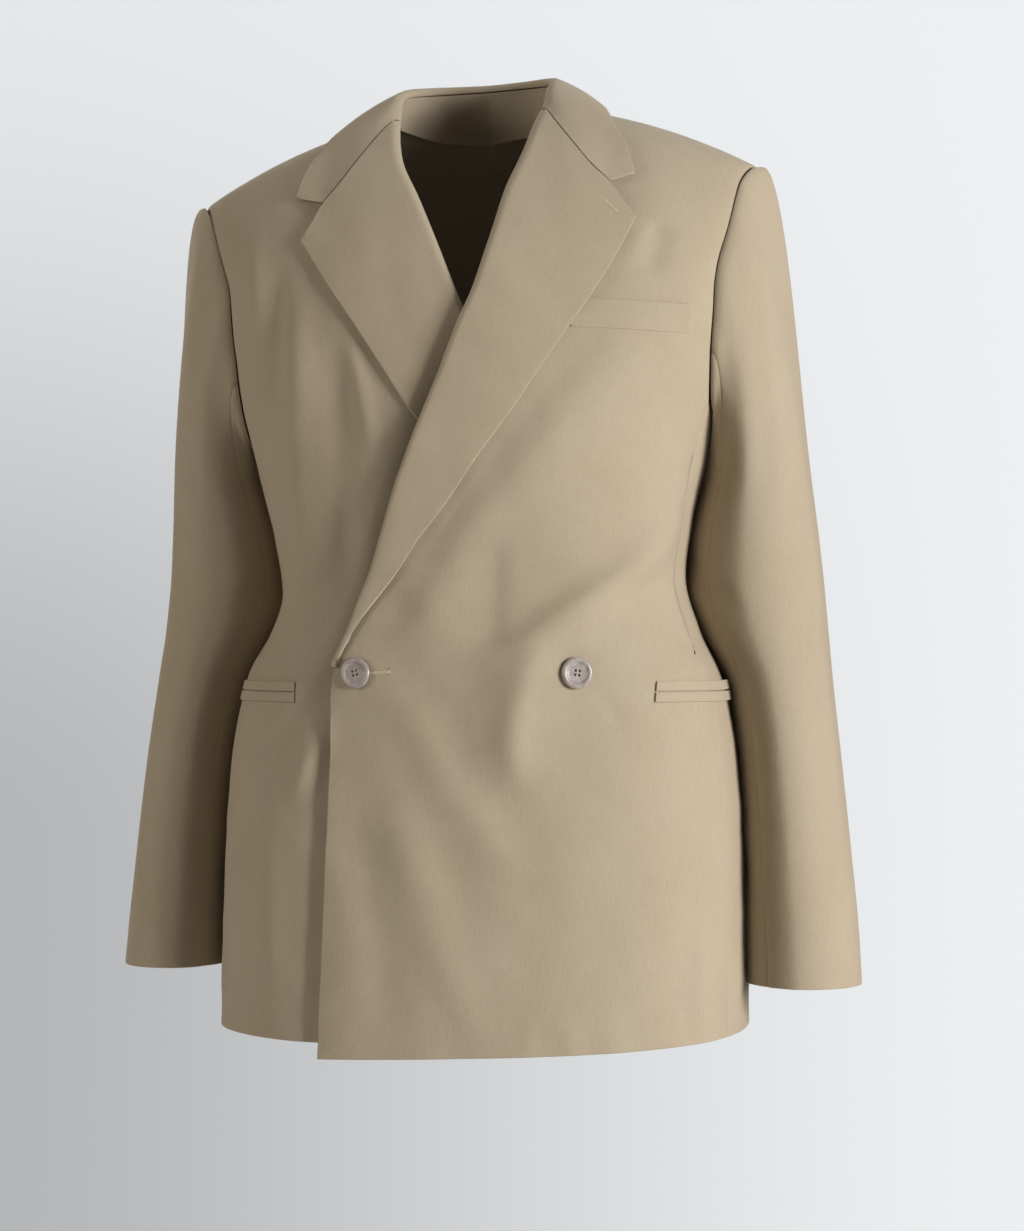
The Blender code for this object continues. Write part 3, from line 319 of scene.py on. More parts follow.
def spreadColumns(place, columns, rows, stops, rims):
    # keeps the lines at the edges and stops at true distances on every row, however wide it is
    fine = np.linspace(0, 1, 2 * len(columns))
    u, v = np.meshgrid(fine, rows, indexing="ij")
    along = arcs(place(u, v), 0)
    marks = [0, *[position for position, _ in stops], columns[-1]]
    targets = [np.full(len(rows), rims.get("u0", 0))]
    targets += [np.array([np.interp(share, fine, along[:, row]) for row, share in enumerate(where(rows))])
                for _, where in stops]
    targets += [along[-1] - rims.get("u1", 0)]
    spread = np.zeros((len(columns), len(rows)))
    wide = grid["close"][-1]
    for k in range(len(marks) - 1):
        part = (columns >= marks[k]) & (columns <= marks[k + 1])
        share = np.clip((columns[part] - marks[k] - wide) / (marks[k + 1] - marks[k] - 2 * wide), 0, 1)
        shift = mix(targets[k] - marks[k], targets[k + 1] - marks[k + 1], share[:, None])
        spread[part] = columns[part][:, None] + shift
    return np.stack([np.interp(spread[:, row], along[:, row], fine) for row in range(len(rows))], -1)


def dipInto(points, normals, dips):
    # presses a sheet in along an edge (u0, u1, v0, v1), to a depth and over a width in mm
    fromU, fromV = arcs(points, 0), arcs(points, 1)
    away = {"u0": fromU, "u1": fromU[-1:] - fromU, "v0": fromV, "v1": fromV[:, -1:] - fromV}
    for edge, deep, wide in dips:
        if callable(deep):
            deep = deep(np.linspace(0, 1, points.shape[edge[0] == "u"]))
            deep = deep[None] if edge[0] == "u" else deep[:, None]
        points = points - normals * (deep * mm * np.exp(-((away[edge] / (wide * mm)) ** 2)))[..., None]
    return points


def shellMesh(name, points, inside, wall, rims, grainStart):
    # both faces of the cloth and its rounded rim, with a UV map in metres along the threads
    normals, outward = outwardNormals(points, inside)
    columns, rows = points.shape[:2]
    ids = np.arange(columns * rows).reshape(columns, rows)
    half = wall / 2
    reachU, reachV = np.zeros(points.shape), np.zeros(points.shape)
    reachU[0], reachU[-1] = -slopes(points, 0)[0] * rims["u0"], slopes(points, 0)[-1] * rims["u1"]
    reachV[:, 0], reachV[:, -1] = -slopes(points, 1)[:, 0] * rims["v0"], slopes(points, 1)[:, -1] * rims["v1"]
    reach = (reachU + reachV).reshape(-1, 3)
    middle, facing = points.reshape(-1, 3), normals.reshape(-1, 3)
    loop = np.concatenate([ids[:-1, 0], ids[-1, :-1], ids[:0:-1, -1], ids[0, :0:-1]])
    places = [middle + facing * half, middle - facing * half]
    ways = [facing, -facing]
    rings = [loop]
    for number, turn in enumerate(math.radians(degrees) for degrees in grid["rimTurns"]):
        places.append(middle[loop] + reach[loop] * math.cos(turn) + facing[loop] * half * math.sin(turn))
        ways.append(unit(unit(reach[loop]) * math.cos(turn) + facing[loop] * math.sin(turn)))
        rings.append(2 * columns * rows + number * len(loop) + np.arange(len(loop)))
    rings.append(loop + columns * rows)
    quads = np.stack([ids[:-1, :-1], ids[1:, :-1], ids[1:, 1:], ids[:-1, 1:]], -1).reshape(-1, 4)
    faces = [quads, quads[:, ::-1] + columns * rows]
    for near, far in zip(rings, rings[1:]):
        faces.append(np.stack([np.roll(near, -1), near, far, np.roll(far, -1)], -1))
    looks = np.concatenate([np.full(len(part), 1 if number == 1 else 0) for number, part in enumerate(faces)])
    faces = np.concatenate(faces)
    if not outward:
        faces = faces[:, ::-1]
    mesh = bpy.data.meshes.new(name)
    mesh.from_pydata(np.concatenate(places).tolist(), [], faces.tolist())
    across, down = arcs(points, 0), arcs(points, 1)
    across = across - across[grainStart:grainStart + 1]
    grain = np.stack([across, down], -1).reshape(-1, 2)
    grain = np.concatenate([grain, grain] + [grain[loop]] * len(grid["rimTurns"]))
    layer = mesh.uv_layers.new(name="grain")
    layer.data.foreach_set("uv", grain[faces.ravel()].ravel())
    mesh.polygons.foreach_set("material_index", looks)
    mesh.shade_smooth()
    mesh.normals_split_custom_set_from_vertices(np.concatenate(ways).tolist())
    piece = bpy.data.objects.new(name, mesh)
    bpy.context.scene.collection.objects.link(piece)
    return piece, across, down


def makeCloth(name, cad, place, size, inside, dips=(), sewn=(), wall=2 * mm, stops=(),
              backLook="inside"):
    # sewn edges end sharply and dip into their seam, and finished edges are rounded
    finished = wall * seam["finishedRim"]
    rims = {edge: seam["rim"] if edge in sewn else finished for edge in ("u0", "u1", "v0", "v1")}
    columns = gridLines(size[0], [position for position, _ in stops])
    rows = gridLines(size[1])
    rows = mix(rims["v0"], size[1] - rims["v1"], rows / size[1]) / size[1]
    u = spreadColumns(place, columns, rows, stops, rims)
    points = place(u, np.broadcast_to(rows, u.shape))
    normals, _ = outwardNormals(points, inside)
    points = dipInto(points, normals, [*dips, *((edge, seam["dip"], seam["dipWidth"]) for edge in sewn)])
    grainStart = int(np.argmin(np.abs(columns - (stops[0][0] if stops else size[0] / 2))))
    piece, across, down = shellMesh(name, points, inside, wall, rims, grainStart)
    piece.data.materials.append(materials["wool"])
    piece.data.materials.append(materials[backLook])
    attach(piece, "root")
    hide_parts(cad)
    width, length = (max(0.01, round(float(np.ptp(way)), 3)) for way in (across, down))
    steps = points[1:, :-1] - points[:-1, :-1], points[:-1, 1:] - points[:-1, :-1]
    area = float(np.linalg.norm(np.cross(*steps), axis=-1).sum())
    share = min(1.0, max(0.3, area / (width * length)))
    cut = f"{width * 1000:.0f} x {length * 1000:.0f} mm, {share:.2f} full"
    print(f"{name}: {len(piece.data.polygons)} faces, {cut}")
    return piece


def applyAll(piece):
    bpy.ops.object.select_all(action="DESELECT")
    piece.select_set(True)
    bpy.context.view_layer.objects.active = piece
    for modifier in list(piece.modifiers):
        bpy.ops.object.modifier_apply(modifier=modifier.name)
    piece.select_set(False)


# finishes

def addNode(tree, kind, inputs=None, **settings):
    made = tree.nodes.new("ShaderNode" + kind)
    for key, value in settings.items():
        setattr(made, key, value)
    for key, value in (inputs or {}).items():
        if isinstance(value, bpy.types.NodeSocket):
            tree.links.new(value, made.inputs[key])
        else:
            made.inputs[key].default_value = value
    return made


def addMath(tree, operation, a, b=0.0, c=0.0):
    return addNode(tree, "Math", {0: a, 1: b, 2: c}, operation=operation).outputs[0]


def newGroup(name, inputs, outputs):
    tree = bpy.data.node_groups.new(name, "ShaderNodeTree")
    for label, kind, value in inputs:
        socket = tree.interface.new_socket(name=label, in_out="INPUT", socket_type="NodeSocket" + kind)
        if value is not None:
            socket.default_value = value
    for label, kind in outputs:
        tree.interface.new_socket(name=label, in_out="OUTPUT", socket_type="NodeSocket" + kind)
    return tree, tree.nodes.new("NodeGroupInput").outputs, tree.nodes.new("NodeGroupOutput").inputs


def threadNoise(tree, across, down, acrossSize, downSize, seed, detail=2.0):
    # noise stretched along the threads, from -0.5 to 0.5
    x = addMath(tree, "MULTIPLY_ADD", across, 1 / acrossSize, seed)
    y = addMath(tree, "MULTIPLY", down, 1 / downSize)
    spot = addNode(tree, "CombineXYZ", {0: x, 1: y, 2: seed}).outputs[0]
    noise = addNode(tree, "TexNoise", {"Vector": spot, "Scale": 1.0, "Detail": detail, "Roughness": 0.55},
                    noise_dimensions="2D")
    return addMath(tree, "SUBTRACT", noise.outputs[0], 0.5)


weave = {"pitch": 0.55 * mm, "slubWide": 1.05 * mm, "slubLong": 15 * mm,
         "fineWide": 0.6 * mm, "fineLong": 5 * mm,
         "dashWide": 10 * mm, "dashTall": 0.9 * mm, "broad": 70 * mm, "fuzz": 0.35 * mm,
         "slubTone": 0.17, "fineTone": 0.12, "dashTone": 0.07, "threadTone": 0.02, "broadTone": 0.10,
         "broadRichness": -0.12, "threadHeight": 0.30, "slubHeight": 0.9, "fuzzHeight": 0.5,
         "roughness": 0.80, "slubRoughness": 0.10}


def makeWeaveGroup():
    tree, given, result = newGroup("woolWeave", [
        ("Grain", "Vector", None), ("Cloth", "Color", (0.4, 0.35, 0.25, 1)), ("Slub", "Float", 1.0),
        ("Broad", "Float", 1.0)], [("Color", "Color"), ("Height", "Float"), ("Roughness", "Float")])
    parts = addNode(tree, "SeparateXYZ", {0: given["Grain"]}).outputs
    across, down = parts[0], parts[1]
    slub = threadNoise(tree, across, down, weave["slubWide"], weave["slubLong"], 3.7, 3.0)
    fine = threadNoise(tree, across, down, weave["fineWide"], weave["fineLong"], 11.3)
    dash = threadNoise(tree, across, down, weave["dashWide"], weave["dashTall"], 23.1)
    broad = threadNoise(tree, across, down, weave["broad"], weave["broad"] * 1.6, 41.9)
    fuzz = threadNoise(tree, across, down, weave["fuzz"], weave["fuzz"], 57.2)
    waves = [addMath(tree, "SINE", addMath(tree, "MULTIPLY", way, 2 * math.pi / weave["pitch"]))
             for way in (across, down)]
    threads = addMath(tree, "MULTIPLY", waves[0], waves[1])
    tone = addMath(tree, "MULTIPLY", slub, weave["slubTone"])
    tone = addMath(tree, "MULTIPLY_ADD", fine, weave["fineTone"], tone)
    tone = addMath(tree, "MULTIPLY_ADD", dash, weave["dashTone"], tone)
    tone = addMath(tree, "MULTIPLY_ADD", threads, weave["threadTone"], tone)
    tone = addMath(tree, "MULTIPLY", tone, given["Slub"])
    wide = addMath(tree, "MULTIPLY", broad, given["Broad"])
    value = addMath(tree, "ADD", addMath(tree, "MULTIPLY_ADD", wide, weave["broadTone"], tone), 1.0)
    richness = addMath(tree, "ADD", addMath(tree, "MULTIPLY", wide, weave["broadRichness"]), 1.0)
    shade = addNode(tree, "HueSaturation", {"Saturation": richness, "Value": value, "Color": given["Cloth"]})
    tree.links.new(shade.outputs[0], result["Color"])
    height = addMath(tree, "MULTIPLY", threads, weave["threadHeight"])
    height = addMath(tree, "MULTIPLY_ADD", slub, weave["slubHeight"], height)
    height = addMath(tree, "MULTIPLY_ADD", fuzz, weave["fuzzHeight"], height)
    tree.links.new(height, result["Height"])
    rough = addMath(tree, "MULTIPLY_ADD", slub, weave["slubRoughness"], weave["roughness"])
    tree.links.new(rough, result["Roughness"])
    return tree


nap = {"depth": 0.25 * mm, "sheenRoughness": 0.5, "sheenTint": (0.86, 0.82, 0.74, 1), "specular": 0.25}


def makeWool(name, colour, slub, broad, bump, sheen):
    material = bpy.data.materials.new(name)
    material.use_nodes = True
    tree = material.node_tree
    shader = tree.nodes["Principled BSDF"]
    grain = addNode(tree, "UVMap", uv_map="grain")
    woven = addNode(tree, "Group", node_tree=weaveGroup)
    tree.links.new(grain.outputs[0], woven.inputs["Grain"])
    woven.inputs["Cloth"].default_value = (*colour, 1)
    woven.inputs["Slub"].default_value = slub
    woven.inputs["Broad"].default_value = broad
    raised = addNode(tree, "Bump", {"Strength": bump, "Distance": nap["depth"],
                                    "Height": woven.outputs["Height"]})
    tree.links.new(woven.outputs["Color"], shader.inputs["Base Color"])
    tree.links.new(woven.outputs["Roughness"], shader.inputs["Roughness"])
    tree.links.new(raised.outputs[0], shader.inputs["Normal"])
    shader.inputs["Sheen Weight"].default_value = sheen
    shader.inputs["Sheen Roughness"].default_value = nap["sheenRoughness"]
    shader.inputs["Sheen Tint"].default_value = nap["sheenTint"]
    shader.inputs["Specular IOR Level"].default_value = nap["specular"]
    return material


weaveGroup = makeWeaveGroup()
materials = {
    "wool": makeWool("taupeWool", (0.420, 0.345, 0.240), 1.0, 1.0, 0.5, 0.22),
    "inside": makeWool("woolBack", (0.330, 0.268, 0.186), 0.5, 0.5, 0.25, 0.10)}
print("finishes are ready")


# fronts: the left one lies on top, and reaches past the middle to the right

overlap = {"centre": 9 * mm, "top": -0.04, "full": -0.18, "under": 3.4 * mm, "underLapel": 5.9 * mm,
           "lapelFoot": -0.520, "lapelFull": -0.440, "fadeOut": 78 * mm, "fadeMore": 45 * mm, "fadeIn": 6 * mm,
           "tuck": 5 * mm, "tuckWide": 24 * mm, "tuckTop": -0.15, "tuckFull": -0.25}
front = {"breakHeight": -0.4445, "rollTop": -0.0085, "neckAngle": 71.4, "breakRow": 0.40, "neckRow": 0.955,
         "hemOver": -0.7560, "hemUnder": -0.7470, "hemRun": 0.813, "armholeRow": 0.57, "armholeStart": 0.14,
         "dartX": 0.174, "dartTop": -0.250, "dartBottom": -0.466, "dartDeep": 0.9, "dartWide": 1.5 * mm,
         "dartOpen": 0.05, "dartShut": 0.04, "dartFaint": 0.4, "dartFade": (-0.37, -0.31)}
frontEdge = table("height reach", [
    (0.0000, -0.0650), (-0.0100, -0.0620), (-0.0443, -0.0540), (-0.0765, -0.0405), (-0.1207, -0.0250),
    (-0.1590, -0.0112), (-0.1843, 0.0000), (-0.2242, 0.0148), (-0.2646, 0.0317), (-0.3080, 0.0482),
    (-0.3646, 0.0670), (-0.3920, 0.0775), (-0.4170, 0.0865), (-0.4445, 0.0985), (-0.4560, 0.1040),
    (-0.4740, 0.1065), (-0.5210, 0.1075), (-0.6310, 0.1110), (-0.7600, 0.1155)])
armhole = table("along run front back", [
    (0.00, 0.331, 0.0, 0.0), (0.07, 0.327, 6.0, 6.0), (0.14, 0.315, 12.0, 12.0), (0.24, 0.290, 17.5, 17.5),
    (0.36, 0.255, 21.5, 22.0), (0.50, 0.210, 23.3, 24.5), (0.64, 0.162, 21.8, 24.0), (0.78, 0.112, 20.2, 22.0),
    (0.88, 0.070, 19.0, 19.5), (0.95, 0.034, 13.5, 13.5), (1.00, 0.000, 0.0, 0.0)])
sideSeams = table("run front back", [
    (0.315, 12.0, 12.0), (0.375, 13.3, 15.5), (0.455, 15.0, 20.0), (0.580, 16.0, 22.0), (0.831, 17.0, 24.0)])
shoulder = {"ridgeHalf": 0.6 * mm, "row": 0.9}


def overlapCentre(z):
    return overlap["centre"] * ease(overlap["top"], overlap["full"], z)


def edgeX(side, z):
    # where a front's edge, or above it the roll line, lies
    return overlapCentre(z) - side * read(frontEdge, "reach", z)


def frontLift(side, x, z):
    # the left front lies over the right one and over the right lapel, which sinks in beneath its edge
    if side < 0:
        sunk = ease(-overlap["tuckWide"], 0, x - edgeX(left, z))
        return -overlap["tuck"] * (sunk * ease(overlap["tuckTop"], overlap["tuckFull"], z))
    foot = ease(overlap["lapelFoot"], overlap["lapelFull"], z)
    share = (x - edgeX(right, z) - overlap["fadeIn"]) / (overlap["fadeOut"] + overlap["fadeMore"] * foot)
    return ease(1, 0, share) * (overlap["under"] + overlap["underLapel"] * foot)


def frontInner(side, row):
    # angle and run of the front's edge: past 90 it has crossed to the other side
    hem = front["hemOver"] if side > 0 else front["hemUnder"]
    below = mix(hem, front["breakHeight"], row / front["breakRow"])
    share = (row - front["breakRow"]) / (front["neckRow"] - front["breakRow"])
    above = mix(front["breakHeight"], front["rollTop"], np.minimum(1, share))
    z = np.where(row < front["breakRow"], below, above)
    x = edgeX(side, z)
    angle, run = formPlace(x, z)
    angle = np.where(x * side < 0, 180 - angle, angle)
    share = np.clip((row - front["neckRow"]) / (1 - front["neckRow"]), 0, 1)
    return mix(angle, front["neckAngle"], share), mix(run, 0, share)


def armholePlace(along, back):
    angle = np.where(back, -read(armhole, "back", along), read(armhole, "front", along))
    return angle, read(armhole, "run", along)


def seamPlace(row, back):
    # the outer edge of a front or back: the side seam, and above it the armhole
    share = np.clip((row - front["armholeRow"]) / (1 - front["armholeRow"]), 0, 1)
    upAngle, upRun = armholePlace(mix(front["armholeStart"], 1, share), back)
    hem = backPanel["hemRun"] if back else front["hemRun"]
    run = mix(hem, sideSeams["run"][0], row / front["armholeRow"])
    angle = -read(sideSeams, "back", run) if back else read(sideSeams, "front", run)
    low = row < front["armholeRow"]
    return np.where(low, angle, upAngle), np.where(low, run, upRun)


def frontFlat(side, u, v):
    angle0, run0 = frontInner(side, v)
    angle1, run1 = seamPlace(v, False)
    angle, run = mix(angle0, angle1, u), mix(run0, run1, u)
    own = np.where(angle <= 90, side, -side)
    return own, np.minimum(angle, 180 - angle), run


def dartStop(side):
    # the share of each row at which the front's dart lies
    rows = np.linspace(0, 1, 241)
    low, high = np.zeros(241), np.ones(241)
    for _ in range(halvings):
        middle = (low + high) / 2
        own, angle, run = frontFlat(side, middle, rows)
        inner = formPoint(angle, run)[..., 0] * own * side < front["dartX"]
        low, high = np.where(inner, middle, low), np.where(inner, high, middle)
    return lambda v: np.interp(v, rows, low)


def frontSurface(side):
    def place(u, v):
        own, angle, run = frontFlat(side, u, v)
        flat = formPoint(angle, run)
        x, z = flat[..., 0] * own, flat[..., 2]
        ends = ease(front["dartTop"], front["dartTop"] - front["dartOpen"], z)
        ends = ends * ease(front["dartBottom"], front["dartBottom"] + front["dartShut"], z)
        ends = ends * mix(front["dartFaint"], 1, ease(*front["dartFade"], z))
        off = (x * side - front["dartX"]) / front["dartWide"]
        dart = front["dartDeep"] * mm * ends * np.exp(-(off**2))
        point = clothPoint(own, angle, run, frontLift(side, x, z) - dart, side)
        return point + vec(0, -shoulder["ridgeHalf"] * ease(shoulder["row"], 1, v), 0)
    return place


# backs and side bodies

backPanel = {"hemRun": 0.808, "neckRun": 0.056}


def backNeckRun(angle):
    # the neck opening is cut into the back as a quarter of an ellipse
    share = np.cos(np.radians(angle)) / math.cos(math.radians(front["neckAngle"]))
    return backPanel["neckRun"] * np.sqrt(np.maximum(0, 1 - share**2))


def backSurface(side):
    def place(u, v):
        angle1, run1 = seamPlace(v, True)
        angle = mix(-90, angle1, u)
        neck = backNeckRun(angle)
        run = mix(mix(backPanel["hemRun"], neck, v), np.maximum(run1, neck), u)
        ridge = shoulder["ridgeHalf"] * ease(shoulder["row"], 1, v)
        return clothPoint(side, angle, run) + vec(side * seam["half"] * (1 - u), ridge, 0)
    return place


def sideSurface(side):
    def place(u, v):
        hem = mix(front["hemRun"], backPanel["hemRun"], u)
        top = read(armhole, "run", front["armholeStart"] * np.abs(1 - 2 * u))
        run = mix(hem, top, v)
        gap = np.degrees(4 * seam["half"] / read(formSections, "half", run))
        seamRun = np.maximum(run, sideSeams["run"][0])
        angle = mix(read(sideSeams, "front", seamRun) - gap, gap - read(sideSeams, "back", seamRun), u)
        return clothPoint(side, angle, run)
    return place


# lapels

lapelEdge = table("along reach height rollOver rollUnder edgeOver edgeUnder", [
    (0.00, 0.0975, -0.4400, 3.6, 3.6, 3.4, 3.4),
    (0.08, 0.0800, -0.4107, 4.2, 4.6, 3.6, 4.3),
    (0.16, 0.0630, -0.3873, 4.8, 4.8, 3.8, 4.5),
    (0.28, 0.0355, -0.3477, 5.4, 4.8, 4.0, 4.3),
    (0.38, 0.0092, -0.3161, 5.8, 4.8, 4.2, 4.3),
    (0.48, -0.0162, -0.2814, 6.2, 4.6, 4.4, 4.2),
    (0.58, -0.0412, -0.2478, 6.4, 4.7, 4.6, 4.2),
    (0.69, -0.0647, -0.2121, 6.5, 4.9, 4.8, 4.4),
    (0.80, -0.0883, -0.1770, 6.5, 5.2, 5.2, 4.8),
    (0.90, -0.1130, -0.1395, 6.3, 5.6, 5.3, 5.0),
    (1.00, -0.1336, -0.1040, 6.0, 6.0, 5.3, 5.2)])
lapelRim = {name: lapelEdge[name] for name in ("height", "reach")}
lapel = {"calm": 0.85, "calmPast": (-4 * mm, 20 * mm), "calmShort": 20 * mm, "calmLow": (-0.47, -0.43),
         "calmHigh": (-0.08, -0.12), "foot": 6 * mm, "rollGap": 1.2 * mm, "notchShare": 0.714,
         "notchRise": 2.5 * mm, "notchReach": 0.12, "notchRow": 0.85, "curl": 0.26,
         "wall": 2.4 * mm, "widest": 0.105, "length": 0.48}


def underLapels(x, z, layer):
    # how much of a front's folds is left where it lies under its lapel, or under the other front's
    calm = 1
    for side in (left,) if layer == left else (left, right):
        past = (x - overlapCentre(z)) * side + read(lapelRim, "reach", z)
        short = (edgeX(side, z) - x) * side
        bare = np.maximum(ease(*lapel["calmPast"], past), ease(0, lapel["calmShort"], short))
        height = ease(*lapel["calmLow"], z) * ease(*lapel["calmHigh"], z)
        calm = calm * (1 - lapel["calm"] * height * (1 - bare))
    return calm


def lapelRail(side, along):
    rollZ = mix(front["breakHeight"] - lapel["foot"], front["rollTop"], along)
    outerZ = read(lapelEdge, "height", along)
    outerX = overlapCentre(outerZ) - side * read(lapelEdge, "reach", along)
    return np.stack([edgeX(side, rollZ), rollZ], -1), np.stack([outerX, outerZ], -1)


def lapelLift(side, along, share):
    layer = "Over" if side > 0 else "Under"
    roll, edge = read(lapelEdge, "roll" + layer, along), read(lapelEdge, "edge" + layer, along)
    return mix(roll, edge, ease(0, 1, share)) * mm


def lapelPoint(side, along, share, rise=0):
    # a point of a lapel past its roll, raised across its row to make the notch
    along, share = np.broadcast_arrays(np.asarray(along, float), np.asarray(share, float))
    roll, outer = lapelRail(side, along)
    way = outer - roll
    near = np.exp(-(((share - lapel["notchShare"]) / lapel["notchReach"]) ** 2))
    bump = near * ease(lapel["notchRow"], 1, along)
    across = unit(np.stack([-way[..., 1], way[..., 0]], -1)) * side
    spot = roll + way * share[..., None] + across * (lapel["notchRise"] * bump + rise)[..., None]
    x, z = spot[..., 0], spot[..., 1]
    return frontPoint(x, z, lapelLift(side, along, share) + frontLift(side, x, z), side)


def lapelSurface(side):
    def place(u, v):
        share = np.clip((u - lapel["curl"]) / (1 - lapel["curl"]), 0, 1)
        roll, _ = lapelRail(side, v)
        above, _ = lapelRail(side, v + 0.01)
        line = unit(above - roll)
        opening = np.stack([-line[..., 1], line[..., 0]], -1) * side
        half = lapelLift(side, v, 0) / 2
        turn = math.pi * (u / lapel["curl"] - 0.5)
        spot = roll + opening * (half * np.cos(turn) + lapel["rollGap"])[..., None]
        lift = half * (1 + np.sin(turn)) + frontLift(side, spot[..., 0], spot[..., 1])
        rolled = frontPoint(spot[..., 0], spot[..., 1], lift, side)
        return np.where((u > lapel["curl"])[..., None], lapelPoint(side, v, share), rolled)
    return place


# collar: its fall rolls out over a stand

collarRows = table("along neckAngle neckRun edgeAngle edgeRun rollX rollY rollZ", [
    (0.00, 74.3, 0.050, 52.6, 0.1090, 0.0600, -0.0455, -0.0050),
    (0.13, 73.6, 0.036, 55.0, 0.0810, 0.0612, -0.0330, 0.0050),
    (0.26, 72.6, 0.020, 58.5, 0.0570, 0.0618, -0.0190, 0.0135),
    (0.38, 71.6, 0.004, 61.6, 0.0290, 0.0615, -0.0040, 0.0195),
    (0.50, 71.9, -0.012, 64.0, 0.0000, 0.0595, 0.0110, 0.0235),
    (0.62, 73.5, -0.0255, 67.5, -0.0260, 0.0535, 0.0245, 0.0260),
    (0.80, 80.0, -0.047, 75.5, -0.0540, 0.0345, 0.0400, 0.0280),
    (1.00, 90.0, -0.056, 90.0, -0.0700, 0.0000, 0.0470, 0.0285)])
collar = {"edgeLift": 5.2 * mm, "curlRadius": 3.0 * mm, "bulge": 2.5 * mm, "outRise": 0.03, "notchShare": 0.8,
          "gorgeReach": 0.30, "gorgeGap": 0.75 * mm, "clear": 3.8 * mm, "clearSoft": 1.2 * mm,
          "lowestRun": 0.235, "curl": 0.24, "wall": 2.4 * mm, "length": 0.46, "wide": 0.062}
collarStand = {"start": 0.11, "inset": 3.2 * mm, "rise": -2.5 * mm, "topGap": 1.2 * mm, "bow": 1.2 * mm}


def collarRail(side, along):
    # neck seam, roll and edge at a share of the way from the front end to the centre back
    row = {name: read(collarRows, name, along) for name in list(collarRows)[1:]}

    def onForm(angle, run, lift):
        return clothPoint(side, np.where(run >= 0, angle, -angle), np.abs(run), lift)
    neck = onForm(row["neckAngle"], row["neckRun"], 0)
    edge = onForm(row["edgeAngle"], row["edgeRun"], collar["edgeLift"])
    roll = stand(vec(side * row["rollX"], row["rollY"], row["rollZ"]), 0)
    inward = unit(neck * (-1, -1, 0))
    return neck + inward * collarStand["inset"] + vec(0, 0, collarStand["rise"]), roll, edge


def collarOutward(roll, edge):
    way = unit(edge - roll)
    out = vec(roll[..., 0], roll[..., 1], collar["outRise"])
    return way, unit(out - way * np.sum(out * way, -1, keepdims=True))


def collarPlain(side, along, share):
    # a point of the fall between its roll (0) and its edge (1)
    _, roll, edge = collarRail(side, along)
    _, out = collarOutward(roll, edge)
    start = roll + out * collar["curlRadius"] * 2
    share = np.asarray(share, float)[..., None]
    return start + (edge - start) * share + out * collar["bulge"] * arch(share)


def collarEnd(side, v):
    # the front end of the collar: round its roll and down beside the lapel to the notch, then out to its point
    share = np.clip((v - collar["curl"]) / (1 - collar["curl"]), 0, 1)
    beside = np.minimum(share / collar["notchShare"] * lapel["notchShare"], lapel["notchShare"])
    u = np.where(v < collar["curl"], v / collar["curl"] * lapel["curl"], mix(lapel["curl"], 1, beside) + 1e-6)
    seamLine = lapelTop(side, u)
    past = np.maximum(0, (share - collar["notchShare"]) / (1 - collar["notchShare"]))
    tip = collarPlain(side, np.zeros(np.shape(v)), np.ones(np.shape(v)))
    return mix(seamLine, tip, past[..., None])


def lapelTop(side, u):
    # the lapel's upper edge with its roll, moved up by the gap at the gorge seam
    top = lapelSurface(side)(u, np.ones(np.shape(u)))
    below = lapelSurface(side)(u, np.full(np.shape(u), 0.99))
    return top + unit(top - below) * collar["gorgeGap"]


def clearOfShoulder(point):
    # keeps the collar just above the shoulder that it lies over
    x = point[..., 0] - posture["sway"]
    side = np.where(x >= 0, 1, -1)
    low, high = np.zeros(x.shape), np.full(x.shape, collar["lowestRun"])
    for _ in range(halvings):
        run = (low + high) / 2
        angle = np.degrees(np.arccos(np.minimum(1, np.abs(x) / read(formSections, "half", run))))
        angle = np.where(point[..., 1] > 0, -angle, angle)
        short = np.abs(formPoint(angle, run)[..., 1]) < np.abs(point[..., 1])
        low, high = np.where(short, run, low), np.where(short, high, run)
    base = clothPoint(side, angle, run, collar["clear"])
    share = ease(-collar["clearSoft"], collar["clearSoft"], base[..., 2] - point[..., 2])
    return mix(point, base, share[..., None])


def collarPlace(u):
    return np.where(u >= 0.5, 1, -1), 1 - np.abs(2 * u - 1)


def eachSide(u, makePoint):
    # runs a rule for each side of the collar, and keeps the side that each point is on
    isLeft = (u >= 0.5)[..., None]
    return np.where(isLeft, makePoint(left), makePoint(right))


def collarFallSurface(u, v):
    side, along = collarPlace(u)
    zero = np.zeros(u.shape)

    def bare(at):
        _, roll, edge = collarRail(side, at)
        way, out = collarOutward(roll, edge)
        turn = (math.pi * np.minimum(1, v / collar["curl"]))[..., None]
        curled = out * (1 - np.cos(turn)) - way * np.sin(turn)
        share = np.clip((v - collar["curl"]) / (1 - collar["curl"]), 0, 1)
        fall = collarPlain(side, at, share)
        return np.where((v <= collar["curl"])[..., None], roll + curled * collar["curlRadius"], fall)
    moved = eachSide(u, lambda one: collarEnd(one, v)) - bare(zero)
    near = ease(collar["gorgeReach"], 0, along)
    point = bare(along) + moved * near[..., None]
    return np.where((v <= collar["curl"])[..., None], point, clearOfShoulder(point))


def collarStandSurface(u, v):
    inner = collarStand["start"] / 2
    side, along = collarPlace(mix(inner, 1 - inner, u))
    neck, roll, _ = collarRail(side, along)
    top = roll - unit(roll - neck) * collarStand["topGap"]
    outward = unit(neck * (1, 1, 0))
    return mix(neck, top, v[..., None]) + outward * (collarStand["bow"] * arch(v))[..., None]


# sleeves: a cap from the armhole, then a tube that bends at the elbow

